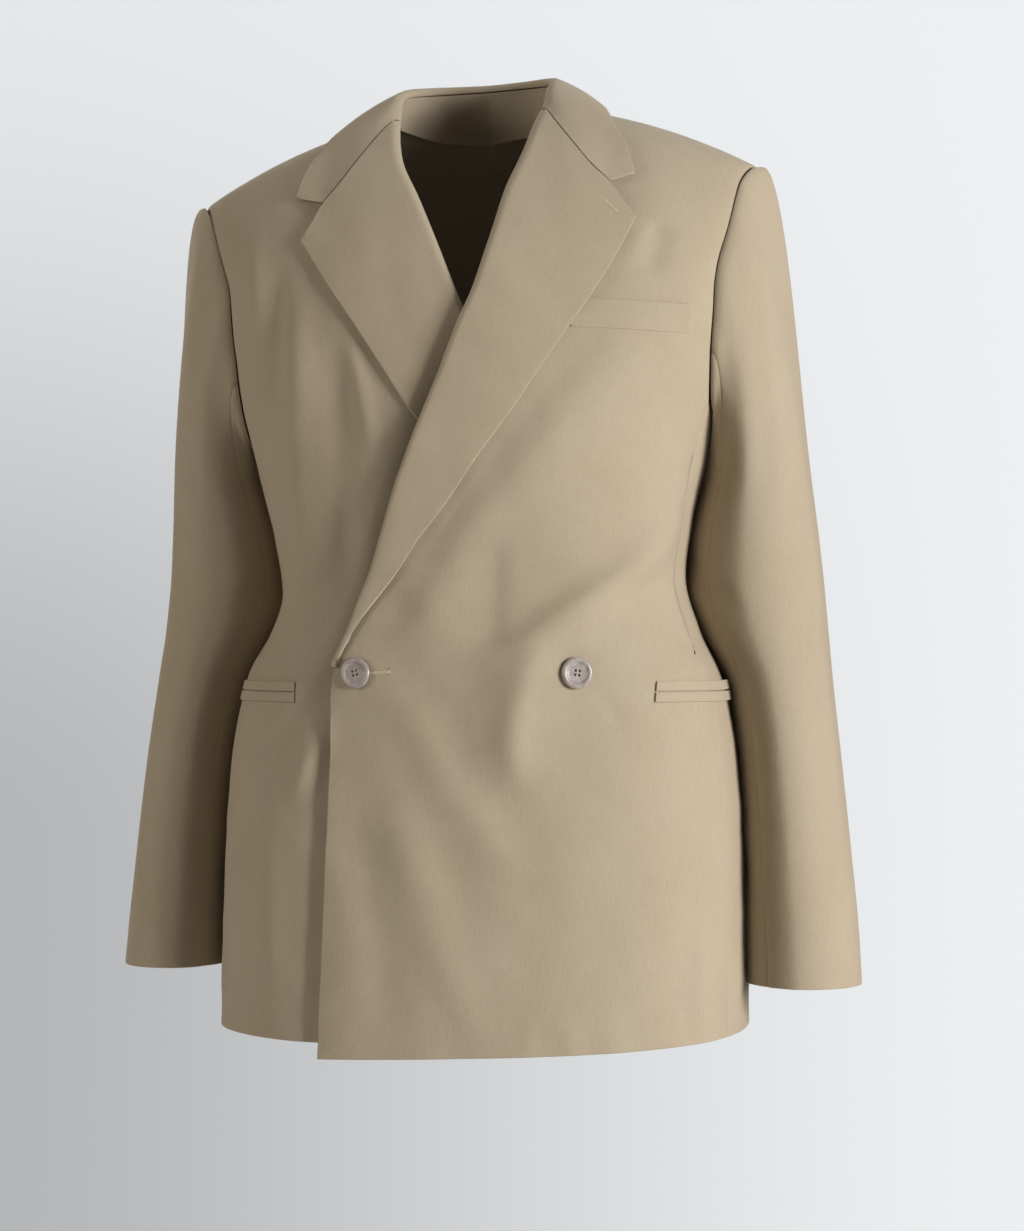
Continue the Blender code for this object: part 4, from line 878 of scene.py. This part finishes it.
sleeveRings = table("height inner outer middle depth near", [
    (-0.300, 0.1860, 0.2640, 0.030, 0.0660, 11.0), (-0.345, 0.1720, 0.2690, 0.040, 0.0655, 10.0),
    (-0.385, 0.1665, 0.2730, 0.045, 0.0640, 9.0), (-0.420, 0.1780, 0.2763, 0.044, 0.0620, 8.5),
    (-0.461, 0.1995, 0.2805, 0.038, 0.0600, 7.5), (-0.526, 0.2130, 0.2880, 0.028, 0.0570, 9.0),
    (-0.605, 0.2180, 0.2965, 0.015, 0.0545, 9.0), (-0.660, 0.2190, 0.3020, 0.007, 0.0525, 8.0),
    (-0.705, 0.2195, 0.3050, 0.000, 0.0505, 6.5)])
sleeve = {"sway": 2 * mm, "swayTop": -0.45, "cuff": {1: -0.7045, -1: -0.6965}, "capShare": 0.42,
          "frontSeam": 128.0, "backSeam": 242.0, "seamHalf": 0.08, "radius": 0.052, "foldStart": 0.12,
          "around": 0.30, "long": 0.74, "crease": {1: 1.3, -1: 0.85},
          "swing": {1: 0, -1: 22 * mm}, "swingTop": (-0.28, -0.36),
          "swingFront": (95, 175), "swingBack": (270, 190), "pullStep": 6 * mm}
sleeveCap = {"pushTop": 0.055, "pushBottom": 0.010, "pushSides": 0.012, "pushFore": 4.0, "pushDown": 0.25,
             "pull": 0.24, "pullBottom": 0.2, "lift": 1.4 * mm, "liftFlat": 1.7 * mm, "flatShare": 0.4,
             "liftTip": -1.5 * mm, "outTip": 3.4 * mm, "tipShare": 0.84}


def sleeveStart(side, angle):
    # the sleeve's first ring lies round the armhole, clear of the panels that it is sewn to
    along = np.abs(angle - 180) / 180
    place, run = armholePlace(along, angle > 180)
    normal = formNormal(place, run) * (side, 1, 1)
    lift = np.maximum(normal[..., 2], ease(sleeveCap["flatShare"], 0, along)) * sleeveCap["liftFlat"]
    tip = ease(sleeveCap["tipShare"], 1, along)
    lift = lift + sleeveCap["lift"] + sleeveCap["liftTip"] * tip
    return clothPoint(side, place, run) + normal * lift[..., None] + vec(side * sleeveCap["outTip"] * tip, 0, 0)


def sleeveRing(side, angle, z):
    turn = np.radians(angle)
    inner, outer = read(sleeveRings, "inner", z), read(sleeveRings, "outer", z)
    inner = inner - read(sleeveRings, "near", z) * mm * (side > 0)   # the left sleeve hangs nearer the body
    wide, deep = np.cos(turn), np.sin(turn)
    square = np.where((wide < 0) & (deep > 0), sleeve["crease"][side], 1)   # how full it is at the inner front
    wide, deep = np.sign(wide) * np.abs(wide) ** square, np.sign(deep) * np.abs(deep) ** square
    x = (inner + outer) / 2 + (outer - inner) / 2 * wide
    y = read(sleeveRings, "middle", z) - read(sleeveRings, "depth", z) * deep
    inside = ease(*sleeve["swingFront"], angle) * ease(*sleeve["swingBack"], angle)
    y = y + sleeve["swing"][side] * inside * ease(*sleeve["swingTop"], z)
    sway = sleeve["sway"] * ease(sleeve["swayTop"], sleeveRings["height"][-1], z)
    return vec(side * x + sway, y, z)


def sleeveFold(angle, z):
    rise = 0
    for fold in eachRow(sleeveFolds):
        wayX = math.radians(fold["angle1"] - fold["angle0"]) * sleeve["radius"]
        wayZ = fold["z1"] - fold["z0"]
        hereX = np.radians((angle - fold["angle0"] + 180) % 360 - 180) * sleeve["radius"]
        hereZ = z - fold["z0"]
        share = (hereX * wayX + hereZ * wayZ) / (wayX**2 + wayZ**2)
        off = (wayX * hereZ - wayZ * hereX) / math.hypot(wayX, wayZ)
        rise = rise + foldShape(share, off, fold)
    return rise


def sleeveSurface(side, first, last):
    def place(u, v):
        angle = mix(first, last, u) % 360
        turn = np.radians(angle)
        ringTop = sleeveRings["height"][0]
        start, end = sleeveStart(side, angle), sleeveRing(side, angle, np.full(u.shape, ringTop))
        top = (1 + np.cos(turn)) / 2
        push = unit(vec(side, start[..., 1] * sleeveCap["pushFore"], -sleeveCap["pushDown"]))
        reach = mix(sleeveCap["pushBottom"], sleeveCap["pushTop"], top)
        push = push * (reach + sleeveCap["pushSides"] * np.abs(np.sin(turn)))[..., None]
        pull = unit(sleeveRing(side, angle, np.full(u.shape, ringTop - sleeve["pullStep"])) - end)
        pull = pull * (sleeveCap["pull"] * mix(sleeveCap["pullBottom"], 1, top))[..., None]
        cap = curveThrough(start, push, end, pull, np.minimum(1, v / sleeve["capShare"])[..., None])
        share = np.clip((v - sleeve["capShare"]) / (1 - sleeve["capShare"]), 0, 1)
        tube = sleeveRing(side, angle, mix(ringTop, sleeve["cuff"][side], share))
        point = np.where((v < sleeve["capShare"])[..., None], cap, tube)
        out = vec(side * np.cos(turn), -np.sin(turn), 0)
        fold = sleeveFold(angle, point[..., 2]) * ease(0, sleeve["foldStart"], v)
        return point + out * fold[..., None]
    return place


# pockets

welt = {"start": 0.090, "end": 0.178, "topStart": -0.1655, "topEnd": -0.1725, "tall": 0.0232, "lift": 2.5 * mm,
        "sewnLift": 1.1 * mm, "wall": 2.2 * mm}
pocket = {"reach": 0.1415, "turn": 43.0, "height": -0.4610, "tall": 7.6 * mm, "gap": 0.9 * mm, "lift": 2.2 * mm,
          "wall": 1.5 * mm}


def weltSurface(u, v):
    x = mix(welt["start"], welt["end"], u)
    z = mix(welt["topStart"], welt["topEnd"], u) - welt["tall"] * (1 - v)
    return frontPoint(x, z, mix(welt["sewnLift"], welt["lift"], ease(0, 0.4, v)) + frontLift(left, x, z))


def jetSurface(side, lower):
    def place(u, v):
        down = pocket["tall"] * (1 - v) + (pocket["tall"] + pocket["gap"] if lower else 0)
        reach = np.full(u.shape, pocket["reach"] + side * overlap["centre"])
        first, run = formPlace(reach, pocket["height"] - down)
        angle = mix(first, first - pocket["turn"], u)
        flat = formPoint(angle, run)
        lift = pocket["lift"] + frontLift(side, flat[..., 0] * side, flat[..., 2])
        return clothPoint(side, angle, run, lift)
    return place


# the cloth pieces, cut and laid

inBody, inNeck = (0, 0, -0.4), (0, 0.01, -0.12)


armholeSeam = {"dip": 0.5, "start": 0.1, "wide": 3.2, "capDip": 0.35, "capMore": 0.45, "capMiddle": 0.48,
               "capSpan": (0.12, 0.34), "capWide": 7.0, "underDip": 0.8}


def armholeDip(share):
    # how deep, in mm, a panel turns in at the sleeve seam above its side seam
    return armholeSeam["dip"] * ease(front["armholeRow"], front["armholeRow"] + armholeSeam["start"], share)


def capDip(share):
    # how deep a top sleeve turns in at the armhole from its back seam over the shoulder to its front seam
    away = ease(*armholeSeam["capSpan"], np.abs(share - armholeSeam["capMiddle"]))
    return armholeSeam["capDip"] + armholeSeam["capMore"] * away


for side, label in ((left, "Left"), (right, "Right")):
    node = label.lower()
    makeCloth("front" + label, "front_" + node, frontSurface(side), (0.34, 0.76), inBody, sewn=("u1", "v1"),
              stops=((0.29, dartStop(side)),), dips=(("u1", armholeDip, armholeSeam["wide"]),))
    makeCloth("back" + label, "back_" + node, backSurface(side), (0.22, 0.76), inBody, sewn=("u0", "u1", "v1"),
              dips=(("u1", armholeDip, armholeSeam["wide"]),))
    makeCloth("side" + label, "side_" + node, sideSurface(side), (0.11, 0.50), inBody, sewn=("u0", "u1", "v1"))
    makeCloth("lapel" + label, "lapel_" + node, lapelSurface(side), (lapel["widest"], lapel["length"]), inBody,
              wall=lapel["wall"], backLook="wool")
    inSleeve = (side * 0.235, 0.02, -0.42)
    topFirst, topLast = sleeve["backSeam"] - 360 + sleeve["seamHalf"], sleeve["frontSeam"] - sleeve["seamHalf"]
    makeCloth("sleeveTop" + label, "sleeve_top_" + node, sleeveSurface(side, topFirst, topLast),
              (sleeve["around"], sleeve["long"]), inSleeve, sewn=("u0", "u1", "v0"),
              dips=(("v0", capDip, armholeSeam["capWide"]),))
    underFirst, underLast = sleeve["frontSeam"] + sleeve["seamHalf"], sleeve["backSeam"] - sleeve["seamHalf"]
    makeCloth("sleeveUnder" + label, "sleeve_under_" + node, sleeveSurface(side, underFirst, underLast),
              (sleeve["around"] * 0.45, sleeve["long"] * 0.8), inSleeve, sewn=("u0", "u1", "v0"),
              dips=(("v0", armholeSeam["underDip"], armholeSeam["capWide"]),))
    for lower, name in ((False, "jetUpper"), (True, "jetLower")):
        cad = ("jet_lower_" if lower else "jet_upper_") + node
        makeCloth(name + label, cad, jetSurface(side, lower), (0.15, pocket["tall"]), inBody,
                  wall=pocket["wall"])
makeCloth("collarFall", "collar_fall", collarFallSurface, (collar["length"], collar["wide"]), inNeck,
          wall=collar["wall"], backLook="wool")
makeCloth("collarStand", "collar_stand", collarStandSurface, (0.34, 0.036), inNeck, sewn=("v0", "v1"),
          backLook="wool")
makeCloth("chestWelt", "chest_welt", weltSurface, (0.088, welt["tall"]), inBody, wall=welt["wall"])


# buttons

button = {"reach": 0.0847, "height": -0.4545, "radius": 12.5 * mm, "gap": 0.6 * mm, "steps": 96,
          "holeRadius": 1.05 * mm, "holeOffset": 2.35 * mm, "holeSteps": 28, "drillLong": 12 * mm,
          "holeBevel": 0.16 * mm, "bevelAngle": 50, "smoothAngle": 40, "seatSteps": 32, "clothHalf": 1 * mm,
          "rimOut": [(12.0, 2.75), (11.2, 3.3), (10.3, 3.5), (9.4, 3.42), (8.7, 3.12), (8.2, 2.6), (7.8, 2.3),
                     (7.2, 2.2), (4.2, 2.12)],
          "rimUnder": [(12.1, 0.8), (11.2, 0.25), (10.2, 0.0)], "base": 1.3, "top": 2.0}


horn = {"cloud": 160.0, "twist": 1.6, "speck": 900.0, "speckShare": 0.25, "ramp": (0.36, 0.64),
        "dark": (0.275, 0.226, 0.205, 1), "pale": (0.400, 0.345, 0.318, 1), "roughness": 0.26,
        "speckRoughness": 0.16, "bump": 0.15, "bumpDepth": 0.05 * mm, "coat": 0.35, "coatRoughness": 0.18}


def makeButtonFinish():
    material = bpy.data.materials.new("hornButton")
    material.use_nodes = True
    tree = material.node_tree
    shader = tree.nodes["Principled BSDF"]
    place = addNode(tree, "TexCoord").outputs["Object"]
    cloud = addNode(tree, "TexNoise", {"Vector": place, "Scale": horn["cloud"], "Detail": 4.0,
                                        "Distortion": horn["twist"]})
    speck = addNode(tree, "TexNoise", {"Vector": place, "Scale": horn["speck"], "Detail": 2.0})
    clouded = addMath(tree, "MULTIPLY", cloud.outputs[0], 1 - horn["speckShare"])
    mask = addMath(tree, "MULTIPLY_ADD", speck.outputs[0], horn["speckShare"], clouded)
    ramp = addNode(tree, "ValToRGB", {0: mask})
    for element, position, colour in zip(ramp.color_ramp.elements, horn["ramp"], (horn["dark"], horn["pale"])):
        element.position, element.color = position, colour
    tree.links.new(ramp.outputs[0], shader.inputs["Base Color"])
    rough = addMath(tree, "MULTIPLY_ADD", speck.outputs[0], horn["speckRoughness"], horn["roughness"])
    tree.links.new(rough, shader.inputs["Roughness"])
    raised = addNode(tree, "Bump", {"Strength": horn["bump"], "Distance": horn["bumpDepth"],
                                    "Height": speck.outputs[0]})
    tree.links.new(raised.outputs[0], shader.inputs["Normal"])
    shader.inputs["Coat Weight"].default_value = horn["coat"]
    shader.inputs["Coat Roughness"].default_value = horn["coatRoughness"]
    return material


twist = {"scale": 1800.0, "tone": 0.5, "roughness": 0.6, "bump": 0.3, "bumpDepth": 0.1 * mm}


def makeThreadFinish(name, colour):
    material = bpy.data.materials.new(name)
    material.use_nodes = True
    tree = material.node_tree
    shader = tree.nodes["Principled BSDF"]
    place = addNode(tree, "TexCoord").outputs["Object"]
    strand = addNode(tree, "TexNoise", {"Vector": place, "Scale": twist["scale"], "Detail": 2.0})
    value = addMath(tree, "MULTIPLY_ADD", strand.outputs[0], twist["tone"], 1 - twist["tone"] / 2)
    shade = addNode(tree, "HueSaturation", {"Value": value, "Color": (*colour, 1)})
    tree.links.new(shade.outputs[0], shader.inputs["Base Color"])
    shader.inputs["Roughness"].default_value = twist["roughness"]
    raised = addNode(tree, "Bump", {"Strength": twist["bump"], "Distance": twist["bumpDepth"],
                                    "Height": strand.outputs[0]})
    tree.links.new(raised.outputs[0], shader.inputs["Normal"])
    return material


def buttonSeat(x):
    # where a button's under side rests, and the way that it faces
    steps = button["seatSteps"]
    turn = np.linspace(0, 2 * math.pi, steps, endpoint=False)
    rimX, rimZ = x + button["radius"] * np.cos(turn), button["height"] + button["radius"] * np.sin(turn)
    rim = frontPoint(rimX, rimZ, frontLift(left, rimX, rimZ) + button["clothHalf"])
    facing = unit(np.cross(rim[0] - rim[steps // 2], rim[steps // 4] - rim[3 * steps // 4]))
    spot, high = np.array([x]), np.array([button["height"]])
    middle = frontPoint(spot, high, frontLift(left, spot, high) + button["clothHalf"])[0]
    highest = max(0, float(np.max((rim - middle) @ facing)))
    return Vector(middle + facing * (highest + button["gap"])), Vector(facing)


def selectFaces(piece, wanted):
    bpy.ops.mesh.select_all(action="DESELECT")
    mesh = bmesh.from_edit_mesh(piece.data)
    for face in mesh.faces:
        face.select_set(wanted(face))
    bmesh.update_edit_mesh(piece.data)


def placePiece(piece, spot, turn):
    # lays a piece where it belongs, and leaves its object at the origin
    piece.data.transform(turn.to_matrix().to_4x4())
    piece.data.transform(Matrix.Translation(spot))
    piece.data.update()


def makeButton(name, cad, x, turnHoles):
    bpy.ops.object.select_all(action="DESELECT")
    depth = (button["top"] - button["base"]) * mm
    middle = (button["top"] + button["base"]) / 2 * mm
    bpy.ops.mesh.primitive_cylinder_add(vertices=button["steps"], radius=button["radius"], depth=depth,
                                        location=(0, 0, middle))
    piece = bpy.context.object
    piece.name = name
    bpy.ops.object.transform_apply(location=True, rotation=True, scale=True)
    for rings, up in ((button["rimOut"], 1), (button["rimUnder"], -1)):
        bpy.ops.object.mode_set(mode="EDIT")
        selectFaces(piece, lambda face: face.normal.z * up > 0.9)
        radius, height = button["radius"] / mm, button["top"] if up > 0 else button["base"]
        for nextRadius, nextHeight in rings:
            bpy.ops.mesh.inset(thickness=(radius - nextRadius) * mm, depth=0)
            bpy.ops.transform.translate(value=(0, 0, (nextHeight - height) * mm))
            radius, height = nextRadius, nextHeight
        bpy.ops.object.mode_set(mode="OBJECT")
    rounded = piece.modifiers.new("rounded", "SUBSURF")
    rounded.levels = rounded.render_levels = 1
    applyAll(piece)
    drills = []
    for hole in range(4):
        turn = turnHoles + math.pi / 4 + hole * math.pi / 2
        spot = (math.cos(turn) * button["holeOffset"], math.sin(turn) * button["holeOffset"], 0)
        bpy.ops.mesh.primitive_cylinder_add(vertices=button["holeSteps"], radius=button["holeRadius"],
                                            depth=button["drillLong"], location=spot)
        drills.append(bpy.context.object)
        drilled = piece.modifiers.new("hole", "BOOLEAN")
        drilled.operation, drilled.object, drilled.solver = "DIFFERENCE", drills[-1], "EXACT"
    soft = piece.modifiers.new("soft hole", "BEVEL")
    soft.width, soft.segments, soft.angle_limit = button["holeBevel"], 2, math.radians(button["bevelAngle"])
    soft.limit_method = "ANGLE"
    applyAll(piece)
    for drill in drills:
        bpy.data.objects.remove(drill)
    piece.data.materials.clear()
    piece.data.materials.append(materials["button"])
    piece.data.shade_smooth()
    bpy.ops.object.select_all(action="DESELECT")
    piece.select_set(True)
    bpy.context.view_layer.objects.active = piece
    bpy.ops.object.shade_smooth_by_angle(angle=math.radians(button["smoothAngle"]))
    spot, facing = buttonSeat(x)
    placePiece(piece, spot, facing.to_track_quat("Z", "Y"))
    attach(piece, "root")
    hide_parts(cad)
    print(name, len(piece.data.polygons), "faces")
    return piece


def joinPieces(name, parts, material):
    bpy.ops.object.select_all(action="DESELECT")
    for part in parts:
        part.select_set(True)
    bpy.context.view_layer.objects.active = parts[0]
    if len(parts) > 1:
        bpy.ops.object.join()
    piece = parts[0]
    piece.name = name
    bpy.ops.object.transform_apply(location=True, rotation=True, scale=True)
    piece.data.materials.clear()
    piece.data.materials.append(material)
    bpy.ops.object.shade_smooth()
    piece.select_set(False)
    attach(piece, "root")
    return piece


def makeShank(name, x, turnHoles):
    # the thread wound under a button, and the four strands that come up into its holes
    parts = []
    for coil in range(thread["coils"]):
        bpy.ops.mesh.primitive_torus_add(major_radius=thread["shankRadius"], minor_radius=thread["coilRadius"],
                                         major_segments=32, minor_segments=8,
                                         location=(0, 0, thread["coilRadius"] * (1 + thread["coilStep"] * coil)
                                                   - button["gap"]))
        parts.append(bpy.context.object)
    for hole in range(4):
        turn = turnHoles + math.pi / 4 + hole * math.pi / 2
        bpy.ops.mesh.primitive_cylinder_add(vertices=14, radius=thread["strandRadius"],
                                            depth=thread["strandTop"],
                                            location=(math.cos(turn) * button["holeOffset"],
                                                      math.sin(turn) * button["holeOffset"],
                                                      thread["strandTop"] / 2))
        parts.append(bpy.context.object)
    piece = joinPieces(name, parts, materials["thread"])
    spot, facing = buttonSeat(x)
    placePiece(piece, spot, facing.to_track_quat("Z", "Y"))
    print(name, len(piece.data.polygons), "faces")


def layOnCloth(piece, start, end, lift):
    # bends a flat piece, which is long in X, on to the cloth between two places
    flat = np.empty(len(piece.data.vertices) * 3)
    piece.data.vertices.foreach_get("co", flat)
    flat = flat.reshape(-1, 3)
    start, end = np.array(start), np.array(end)
    way = unit(end - start)
    spot = (start + end) / 2 + flat[:, :1] * way + flat[:, 1:2] * np.array((-way[1], way[0]))

    def cloth(x, z):
        return frontPoint(x, z, lift + frontLift(left, x, z))
    base = cloth(spot[:, 0], spot[:, 1])
    beside, above = cloth(spot[:, 0] + mm, spot[:, 1]) - base, cloth(spot[:, 0], spot[:, 1] + mm) - base
    placed = base + unit(np.cross(beside, above)) * flat[:, 2:]
    piece.data.vertices.foreach_set("co", placed.ravel())
    piece.data.update()


def makeBead(across, along, high, spot):
    bpy.ops.mesh.primitive_uv_sphere_add(segments=8, ring_count=6, radius=1, location=spot)
    bpy.context.object.scale = (across / 2, along / 2, high / 2)
    return bpy.context.object


# shut shapes the slit's outline; steps, thick and lift make the near-black sheet of painted shade over it
slit = {"shut": 0.4, "steps": 40, "thick": 0.08 * mm, "lift": 0.05 * mm}


def makeButtonhole(name, hole):
    # one stitch with its knot is repeated round the slit, which opens towards one end
    start, end = hole["ends"]
    half = math.dist(start, end) / 2
    thick, long = hole["thick"], hole["stitch"]
    knot = makeBead(thick * 1.3, thick * 1.5, thick * 1.4, (0, 0, 0))
    stitch = joinPieces(name, [makeBead(thick, long, thick, (0, -long / 2, 0)), knot], materials["clothThread"])
    outline = []
    for step in range(hole["steps"] + 1):
        turn = math.pi * step / hole["steps"]
        x = half * math.cos(turn)
        wide = mix(hole["closed"], hole["open"], ease(half * slit["shut"], -half, x))
        outline.append((x, wide * math.sqrt(math.sin(turn))))
    outline += [(x, -wide) for x, wide in outline[-2:0:-1]]
    bpy.ops.curve.primitive_bezier_curve_add()
    path = bpy.context.object
    path.data.dimensions = "2D"
    path.data.splines.clear()
    spline = path.data.splines.new("POLY")
    spline.points.add(len(outline) - 1)
    for point, (x, y) in zip(spline.points, outline):
        point.co = (x, y, 0, 1)
    spline.use_cyclic_u = True
    row = stitch.modifiers.new("row", "ARRAY")
    row.fit_type, row.curve = "FIT_CURVE", path
    row.use_relative_offset, row.use_constant_offset = False, True
    row.constant_offset_displace = (hole["step"], 0, 0)
    bend = stitch.modifiers.new("bend", "CURVE")
    bend.object = path
    applyAll(stitch)
    bpy.data.objects.remove(path)
    # the bar's stitches lie across one end
    bar = [makeBead(thick, hole["bar"], thick * 1.6, (half + thick * (0.9 * count - 0.5), 0, 0))
           for count in range(hole["barStitches"])]
    if bar:
        stitch = joinPieces(name, [stitch] + bar, materials["clothThread"])
    layOnCloth(stitch, start, end, hole["lift"])
    # a near-black sheet over the slit is painted shade: it stands for the shadow inside the closed slit
    bpy.ops.mesh.primitive_cylinder_add(vertices=slit["steps"], radius=1, depth=slit["thick"],
                                        location=(0, 0, slit["lift"]))
    cut = bpy.context.object
    cut.scale = (half, hole["open"], 1)
    cut = joinPieces(name + "PaintedSlitShade", [cut], materials["slit"])
    layOnCloth(cut, start, end, hole["lift"])
    print(name, len(stitch.data.polygons), "faces")


thread = {"shankRadius": 1.9 * mm, "coilRadius": 0.22 * mm, "coils": 2, "coilStep": 1.7,
          "strandRadius": 0.5 * mm, "strandTop": 1.2 * mm}
frontHole = {"ends": ((-0.0775, -0.4550), (-0.0492, -0.4532)), "lift": 1.15 * mm,
             "thick": 0.55 * mm, "stitch": 1.6 * mm, "step": 0.46 * mm, "steps": 48,
             "closed": 0.30 * mm, "open": 0.95 * mm, "bar": 5.4 * mm, "barStitches": 3}
lapelHole = {"ends": ((0.1132, -0.0895), (0.1238, -0.1010)), "lift": 6.65 * mm,
             "thick": 0.30 * mm, "stitch": 1.1 * mm, "step": 0.36 * mm, "steps": 48,
             "closed": 0.16 * mm, "open": 0.16 * mm, "bar": 2.2 * mm, "barStitches": 2}
materials["button"] = makeButtonFinish()
materials["thread"] = makeThreadFinish("buttonThread", (0.10, 0.08, 0.06))
materials["clothThread"] = makeThreadFinish("clothThread", (0.56, 0.47, 0.33))
# painted shade: the near-black finish of the sheet that stands for the shadow in each slit
materials["slit"] = makeThreadFinish("paintedSlitShadow", (0.025, 0.018, 0.012))
for name, cad, x, turnHoles in (
        ("buttonFastened", "button_fastened", overlap["centre"] - button["reach"], math.radians(15)),
        ("buttonInner", "button_inner", overlap["centre"] + button["reach"], math.radians(-8))):
    makeButton(name, cad, x, turnHoles)
    makeShank(name + "Thread", x, turnHoles)
makeButtonhole("frontButtonhole", frontHole)
makeButtonhole("lapelButtonhole", lapelHole)


# stage, light and camera

studio = {"floorHeight": -1.55, "floorRadius": 3.0, "fadeFrom": 1.4, "floorTone": 0.62,
          "keyPower": 99.0, "keySize": 1.0, "keySpot": (2.53, -1.38, -0.10), "aim": (0.02, -0.05, -0.38),
          "fillPower": 39.0, "fillSize": 1.6, "fillSpot": (-2.55, -1.65, 0.40),
          "topPower": 14.0, "topSize": 1.6, "topSpot": (0.2, 0.3, 1.9),
          "backPower": 58.0, "backSize": 2.0, "backSpot": (-1.4, 2.8, 0.6),
          "rightTone": 0.87, "leftTone": 0.46, "leftTop": 0.80, "lightTone": 0.04, "sideFade": (-0.17, 0.17),
          "heightFade": (-0.07, 0.19), "leftLight": 0.5, "rightLight": 1.2, "cool": 0.02,
          "warm": (1.0, 0.95, 0.86), "floorRough": 0.9, "floorRim": 0.98}
lens = {"distance": 2.8, "turn": 10.0, "height": -0.408, "aside": 0.022, "millimetres": 99.9}


def makeFloor():
    bpy.ops.object.select_all(action="DESELECT")
    bpy.ops.mesh.primitive_circle_add(vertices=96, radius=studio["floorRadius"], fill_type="NGON",
                                      location=(0, 0, studio["floorHeight"]))
    floor = bpy.context.object
    floor.name = "floor"
    bpy.ops.object.transform_apply(location=True, rotation=True, scale=True)
    material = bpy.data.materials.new("paleFloor")
    material.use_nodes = True
    tree = material.node_tree
    shader = tree.nodes["Principled BSDF"]
    shader.inputs["Roughness"].default_value = studio["floorRough"]
    shader.inputs["Base Color"].default_value = (studio["floorTone"],) * 3 + (1,)
    place = addNode(tree, "TexCoord").outputs["Object"]
    flat = addNode(tree, "VectorMath", {0: place, 1: (1, 1, 0)}, operation="MULTIPLY").outputs[0]
    away = addNode(tree, "VectorMath", {0: flat}, operation="LENGTH").outputs["Value"]
    rim = studio["floorRadius"] * studio["floorRim"]
    fade = addNode(tree, "MapRange", {0: away, 1: studio["fadeFrom"], 2: rim, 3: 1.0, 4: 0.0},
                   interpolation_type="SMOOTHSTEP")
    tree.links.new(fade.outputs[0], shader.inputs["Alpha"])
    floor.data.materials.append(material)


def makeWorld():
    # paler towards the light on the right, and dimmer for what it lights than for what is seen
    world = bpy.data.worlds.new("studio")
    bpy.context.scene.world = world
    world.use_nodes = True
    tree = world.node_tree
    tree.nodes.clear()
    way = addNode(tree, "TexCoord").outputs["Generated"]
    turn = math.radians(lens["turn"])
    sideways = (math.cos(turn), math.sin(turn), 0)
    aside = addNode(tree, "VectorMath", {0: way, 1: sideways}, operation="DOT_PRODUCT")
    start, end = studio["sideFade"]
    share = addNode(tree, "MapRange", {0: aside.outputs["Value"], 1: start, 2: end, 3: 0.0, 4: 1.0},
                    interpolation_type="SMOOTHSTEP").outputs[0]
    height = addNode(tree, "SeparateXYZ", {0: way}).outputs[2]
    low, high = studio["heightFade"]
    leftSide = addNode(tree, "MapRange", {0: height, 1: low, 2: high, 3: studio["leftTone"],
                                         4: studio["leftTop"]}, interpolation_type="SMOOTHSTEP").outputs[0]
    seen = addNode(tree, "MapRange", {0: share, 3: leftSide, 4: studio["rightTone"]}).outputs[0]
    wide = addNode(tree, "MapRange", {0: aside.outputs["Value"], 1: -1.0, 2: 1.0, 3: studio["leftLight"],
                                     4: studio["rightLight"]}).outputs[0]
    lit = addMath(tree, "MULTIPLY", wide, studio["lightTone"])
    red = addMath(tree, "MULTIPLY", seen, 1 - studio["cool"])
    blue = addMath(tree, "MULTIPLY", seen, 1 + studio["cool"])
    tint = addNode(tree, "CombineXYZ", {0: red, 1: seen, 2: blue}).outputs[0]
    seenLight = addNode(tree, "Background", {0: tint})
    givenLight = addNode(tree, "Background", {0: (*studio["warm"], 1), 1: lit})
    path = addNode(tree, "LightPath").outputs["Is Camera Ray"]
    both = addNode(tree, "MixShader", {0: path, 1: givenLight.outputs[0], 2: seenLight.outputs[0]})
    output = tree.nodes.new("ShaderNodeOutputWorld")
    tree.links.new(both.outputs[0], output.inputs["Surface"])


def addLight(name, spot, power, size, colour):
    data = bpy.data.lights.new(name, "AREA")
    data.energy, data.size, data.color = power, size, colour
    light = bpy.data.objects.new(name, data)
    light.location = spot
    light.rotation_euler = (Vector(studio["aim"]) - Vector(spot)).to_track_quat("-Z", "Y").to_euler()
    bpy.context.scene.collection.objects.link(light)


def makeCamera():
    turn = math.radians(lens["turn"])
    data = bpy.data.cameras.new("camera")
    data.lens, data.sensor_width = lens["millimetres"], 36
    data.clip_start, data.clip_end = 0.05, 60
    camera = bpy.data.objects.new("camera", data)
    back = Vector((math.sin(turn), -math.cos(turn), 0))
    beside = Vector((math.cos(turn), math.sin(turn), 0))
    camera.location = back * lens["distance"] + beside * lens["aside"] + Vector((0, 0, lens["height"]))
    camera.rotation_euler = (-back).to_track_quat("-Z", "Y").to_euler()
    bpy.context.scene.collection.objects.link(camera)
    bpy.context.scene.camera = camera


makeFloor()
makeWorld()
addLight("key", studio["keySpot"], studio["keyPower"], studio["keySize"], (1.0, 0.99, 1.0))
addLight("fill", studio["fillSpot"], studio["fillPower"], studio["fillSize"], studio["warm"])
addLight("back", studio["backSpot"], studio["backPower"], studio["backSize"], (1.0, 0.98, 0.95))
addLight("top", studio["topSpot"], studio["topPower"], studio["topSize"], (0.97, 0.98, 1.0))
makeCamera()
bpy.context.scene.view_settings.view_transform = "Standard"
